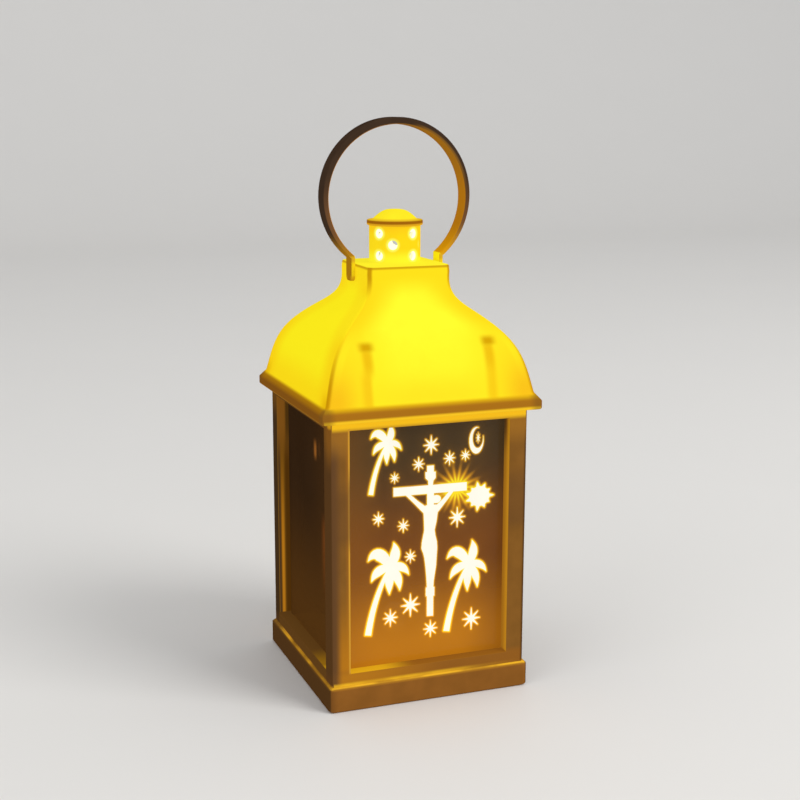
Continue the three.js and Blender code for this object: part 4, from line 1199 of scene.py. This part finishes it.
# the engraving glows with light carried in the pane: a painted glow, nearly all of its colour given
# off
pictureLook = {
    "colour": (255, 252, 236), "lit": 0.92, "drift": 0.02, "bump": 0.3, "grainSize": 0.2,
}
outlines = makePicture(moulded("engravedGlow", pictureLook))
print("picture engraved")

# Panes: tinted acrylic with a painted glow, and the front one carries the picture's painted halo
# and glint as an attribute
pane = {
    "edge": 0.12,
    "edgeLeast": 0.5,
    "cells": 220,
    "closeHalo": (1.25, 0.13),
    "wideHalo": (0.13, 1.2),
    "bigHalo": (1.8, 0.19),
    "glint": (8.0, 51.9),
    "glintReach": 1.75,
    "glintPower": 4.6,
    "glintRays": 9,
    "glintLeast": 0.35,
    "haloStep": 0.2,
    "ramp": ((0.12, (56, 34, 0)), (0.4, (206, 140, 0)), (1.0, (255, 232, 24))),
}
paneLook = {
    "colour": (70, 53, 31), "lit": 0.6, "gloss": 0.1, "drift": 0.05, "driftSize": 14.0,
    "roughness": 0.2, "roughSwing": 0.04, "bump": 0.02, "alpha": 0.88, "ior": 1.49,
}
# painted glow of the light inside: oranger and brighter towards the bottom, warmer on the left,
# darker low on the right
paneLook["tintsAndPaintedLight"] = [
    tintAndPaintedLight((120, 70, 25), z=(64, 34)),
    tintAndPaintedLight((190, 119, 21), z=(36, 12)),
    tintAndPaintedLight((164, 104, 30), 0.25, x=(-10, -20)),
    tintAndPaintedLight((96, 56, 24), 0.3, x=(8, 18), z=(42, 34)),
]


def haloAt(tree, bigOnes, x, z):
    # painted light: a halo round the motifs' outlines, where the palms and the flower glow further
    # than the rest, and a painted glint with rays about one point
    found, nearest = tree.find((x, 0, z))[1:]
    halos = pane["bigHalo" if bigOnes[found] else "closeHalo"], pane["wideHalo"]
    halo = sum(power * exp(-nearest / reach) for power, reach in halos)
    awayX, awayZ = x - pane["glint"][0], z - pane["glint"][1]
    least = pane["glintLeast"]
    wave = 0.5 + 0.5 * cos(2 * pane["glintRays"] * atan2(awayZ, awayX))
    ray = least + (1 - least) * wave ** 2
    return halo + pane["glintPower"] * ray * exp(-hypot(awayX, awayZ) / pane["glintReach"])


def outlineTree():
    # points along the outlines, and for each whether its motif is one of the big ones
    points, bigOnes = [], []
    for outline, big in outlines:
        for (x, z), (endX, endZ) in zip(outline, outline[1:] + outline[:1]):
            steps = max(1, int(hypot(endX - x, endZ - z) / pane["haloStep"]))
            shares = [i / steps for i in range(steps)]
            points += [(x + (endX - x) * t, 0, z + (endZ - z) * t) for t in shares]
            bigOnes += [big] * steps
    tree = KDTree(len(points))
    for i, point in enumerate(points):
        tree.insert(point, i)
    tree.balance()
    return tree, bigOnes


def makePane(side, material, gridded=False):
    bm = nodeCopy(side + "_pane", pane["edge"], pane["edgeLeast"])
    if gridded:
        front = min(bm.faces, key=lambda face: face.calc_center_median().y)
        bmesh.ops.subdivide_edges(bm, edges=list(front.edges), cuts=pane["cells"],
                                  use_grid_fill=True)
    places = [(v.co.x, v.co.z) for v in bm.verts]
    piece = addPiece(side + "Pane", bm, material, "lantern")
    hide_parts(side + "_pane")
    if gridded:
        tree, bigOnes = outlineTree()
        halo = piece.data.attributes.new("halo", "FLOAT", "POINT")
        halo.data.foreach_set("value", [haloAt(tree, bigOnes, x, z) for x, z in places])


def withHalo(material):
    # the painted halo and glint are added to the painted glow that the pane already has
    tree = material.node_tree
    glow = tree.nodes["Principled BSDF"].inputs["Emission Color"]
    halo = tree.nodes.new("ShaderNodeAttribute")
    halo.attribute_name = "halo"
    ramp = tree.nodes.new("ShaderNodeValToRGB")
    stops = ramp.color_ramp.elements
    stops.remove(stops[1])
    stops[0].color = (0, 0, 0, 1)
    for place, colour in pane["ramp"]:
        stops.new(place).color = screen(colour)
    feed(tree, ramp.inputs["Fac"], halo.outputs["Fac"])
    both = mixed(tree, 1.0, glow.links[0].from_socket, ramp.outputs["Color"], "ADD")
    feed(tree, glow, both)
    return material


makePane("front", withHalo(moulded("frontPaneAcrylic", paneLook)), True)
# side and back panes: painted glow, brighter low down and towards the front, a painted bright patch
# low at the front of the left pane, and two painted orange glints on the left pane
sidePaneLook = dict(paneLook, colour=(52, 34, 18), gloss=0.0, tintsAndPaintedLight=[
    tintAndPaintedLight((76, 48, 19), 0.6, y=(4, -20)),
    tintAndPaintedLight((84, 53, 20), z=(50, 10)),
    tintAndPaintedLight((134, 92, 18), 0.7, x=(0, -1), y=(-9.0, -20), z=(17, 9.5)),
    tintAndPaintedLight((190, 136, 26), 0.8, x=(0, -1), y=(-19.3, -20.4), z=(18, 12)),
    tintAndPaintedLight((220, 136, 56), 0.4, x=(0, -1), y=(-4.6, -3.0, -2.8, -1.0), z=(56.4, 59.0, 60.0, 63.0)),
    tintAndPaintedLight((150, 80, 28), 0.4, x=(0, -1), y=(-12.6, -10.4, -10.0, -6.6), z=(20, 38, 40, 46)),
])
sideAcrylic = moulded("sidePaneAcrylic", sidePaneLook)
for side in ("left", "right", "back"):
    makePane(side, sideAcrylic)
print("panes set")

# Diodes: a clear round lens with its flange, above and below
diode = {
    "radius": 2.5,
    "flange": 2.9,
    "flangeHeight": 1.0,
    "flangeEdge": 0.15,
    "body": 4.5,
    "steps": 48,
    "domeSteps": 10,
    "feet": {"base": 9.4, "roof": 72.15},
}
diodeLook = {
    "colour": (255, 232, 170), "lit": 0.7, "drift": 0.03,
    "roughness": 0.15, "roughSwing": 0.04, "bump": 0.02,
    "tintsAndPaintedLight": [tintAndPaintedLight((250, 190, 90), around=(2.2, 2.8))],
}


def makeDiode(level, material):
    radius, flange, step = diode["radius"], diode["flange"], diode["flangeHeight"]
    edge = diode["flangeEdge"]
    profile = [(0, 0), (flange, 0), (flange, step - edge), (flange - edge, step), (radius, step)]
    profile += arc((0, diode["body"]), radius, 0, 90, diode["domeSteps"])
    bm = spun(profile, diode["steps"], foot=diode["feet"][level])
    piece = addPiece(level + "DiodeLens", bm, material, "lantern")
    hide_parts(level + "_light_diode")


diodeGlow = moulded("diodeEpoxy", diodeLook)
for level in diode["feet"]:
    makeDiode(level, diodeGlow)

# Wires: the CAD tubes, rounded by a subdivision
wireSharpest = 60
wireLooks = {
    "red": {"colour": (150, 34, 26), "roughness": 0.45, "drift": 0.05},
    "black": {"colour": (28, 27, 27), "roughness": 0.45, "drift": 0.1},
}
wires = {
    "batteryLeadRed": ("battery_lead_red", "red"),
    "batteryLeadBlack": ("battery_lead_black", "black"),
    "switchLead": ("switch_lead", "red"),
    "riserLeadRed": ("riser_lead_red", "red"),
    "riserLeadBlack": ("riser_lead_black", "black"),
}
wireMaterials = {name: moulded(name + "WirePvc", look) for name, look in wireLooks.items()}
for name, (node, colour) in wires.items():
    bm = nodeCopy(node, 0.0, farAway)
    piece = addPiece(name, bm, wireMaterials[colour], "lantern")
    rounding = piece.modifiers.new("rounding", "SUBSURF")
    rounding.levels = rounding.render_levels = 1
    settle(piece, wireSharpest)
    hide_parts(node)
print("wires and diodes made")

# Screws: pan heads with a cross recess
screws = {
    "recessLength": 1.0625,
    "recessWidth": 0.42,
    "recessDepth": (0.5, 0.7),
    "headProfile": ((0.55, 0), (0.85, 0.1), (1, 0.4), (1, 1)),
    "pitch": 0.8,
    "root": 0.78,
    "tip": 0.3,
    "steps": 24,
    "base": {"head": 1.6, "headHeight": 1.0, "shank": 0.8, "length": 9.1, "foot": 1.2},
    "roof": {"head": 1.6, "headHeight": 1.0, "shank": 0.8, "length": 6.0, "foot": 69.15},
    "door": {"head": 1.3, "headHeight": 0.6, "shank": 0.6, "length": 3.8, "foot": 0.0},
    "places": {"base": (23.3, 23.3), "roof": roof["postPlaces"]},
    "doorPlaces": {"front": -13.9, "back": 1.9},
}
steelLook = {"colour": (190, 188, 182), "roughness": 0.3, "brush": 0.8}
brassLook = {"colour": (206, 168, 98), "roughness": 0.32, "brush": 1.2}
plated = metal("platedSteel", steelLook)


def makeScrew(node, kind, body, x, y):
    size = screws[kind]
    head, height, shank, foot = size["head"], size["headHeight"], size["shank"], size["foot"]
    under, root, pitch = foot + height, screws["root"] * shank, screws["pitch"] * shank
    end = under + size["length"]
    profile = [(0, foot)]
    profile += [(head * out, foot + height * up) for out, up in screws["headProfile"]]
    profile.append((shank, under))
    z = under + pitch
    while z < end - shank - pitch:
        profile += [(root, z), (shank, z + 0.5 * pitch)]
        z += pitch
    profile += [(root, end - shank), (shank * screws["tip"], end), (0, end)]
    bm = spun(profile, screws["steps"], x, y)
    piece = addPiece(node.title().replace("_", ""), bm, plated, body)
    # a cross recess, which is never deeper than its share of the head
    deepest, share = screws["recessDepth"]
    long, wide = screws["recessLength"] * head, screws["recessWidth"]
    deep = min(deepest, share * height)
    cutter = bmesh.new()
    for length, width in ((long, wide), (wide, long)):
        place = Matrix.Translation((x, y, foot)) @ Matrix.Diagonal((length, width, 2 * deep, 1))
        bmesh.ops.create_cube(cutter, size=1.0, matrix=place)
    carve(piece, addPiece("recess", cutter, plated), crossed=True)
    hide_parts(node)


for corner, (sideX, sideY) in {
    "front_left": (-1, -1), "front_right": (1, -1), "back_right": (1, 1), "back_left": (-1, 1),
}.items():
    for kind, (x, y) in screws["places"].items():
        makeScrew(kind + "_screw_" + corner, kind, "lantern", sideX * x, sideY * y)
for place, y in screws["doorPlaces"].items():
    makeScrew("door_screw_" + place, "door", "door", 0.0, y)
print("screws made")

# What stays as the CAD made it gets its finish here; a resistor's bands start at these places
colourBands = (
    (-3.5, (140, 40, 30)), (-2.7, (40, 32, 28)), (-1.9, (150, 74, 30)), (-0.8, (170, 140, 60)),
)
nodeLooks = {
    "boardLaminate": {"colour": (46, 104, 58), "roughness": 0.5, "drift": 0.2, "driftSize": 1.2},
    "resistorLacquer": {
        "colour": (206, 176, 134),
        "roughness": 0.35,
        "tintsAndPaintedLight": [tintAndPaintedLight(colour, y=(y, y + 0.1, y + 0.4, y + 0.5)) for y, colour in colourBands],
    },
    "switchPlastic": {"colour": (34, 34, 36), "roughness": 0.5, "drift": 0.15},
}
nodeMaterials = {name: moulded(name, look) for name, look in nodeLooks.items()}
nodeMaterials["platedSteel"] = plated
nodeMaterials["stampedBrass"] = metal("stampedBrass", brassLook)
carried = {
    "platedSteel": ["button_cell_1", "button_cell_2", "button_cell_3"],
    "stampedBrass": [
        "contact_positive", "contact_link_upper", "contact_link_door", "contact_negative",
    ],
    "boardLaminate": ["base_light_board", "roof_light_board"],
    "resistorLacquer": ["base_resistor", "roof_resistor"],
    "switchPlastic": ["switch_case", "switch_knob"],
}
for materialName, nodes in carried.items():
    for node in nodes:
        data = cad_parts[node].data
        data.materials.clear()
        data.materials.append(nodeMaterials[materialName])
print("inner parts finished")
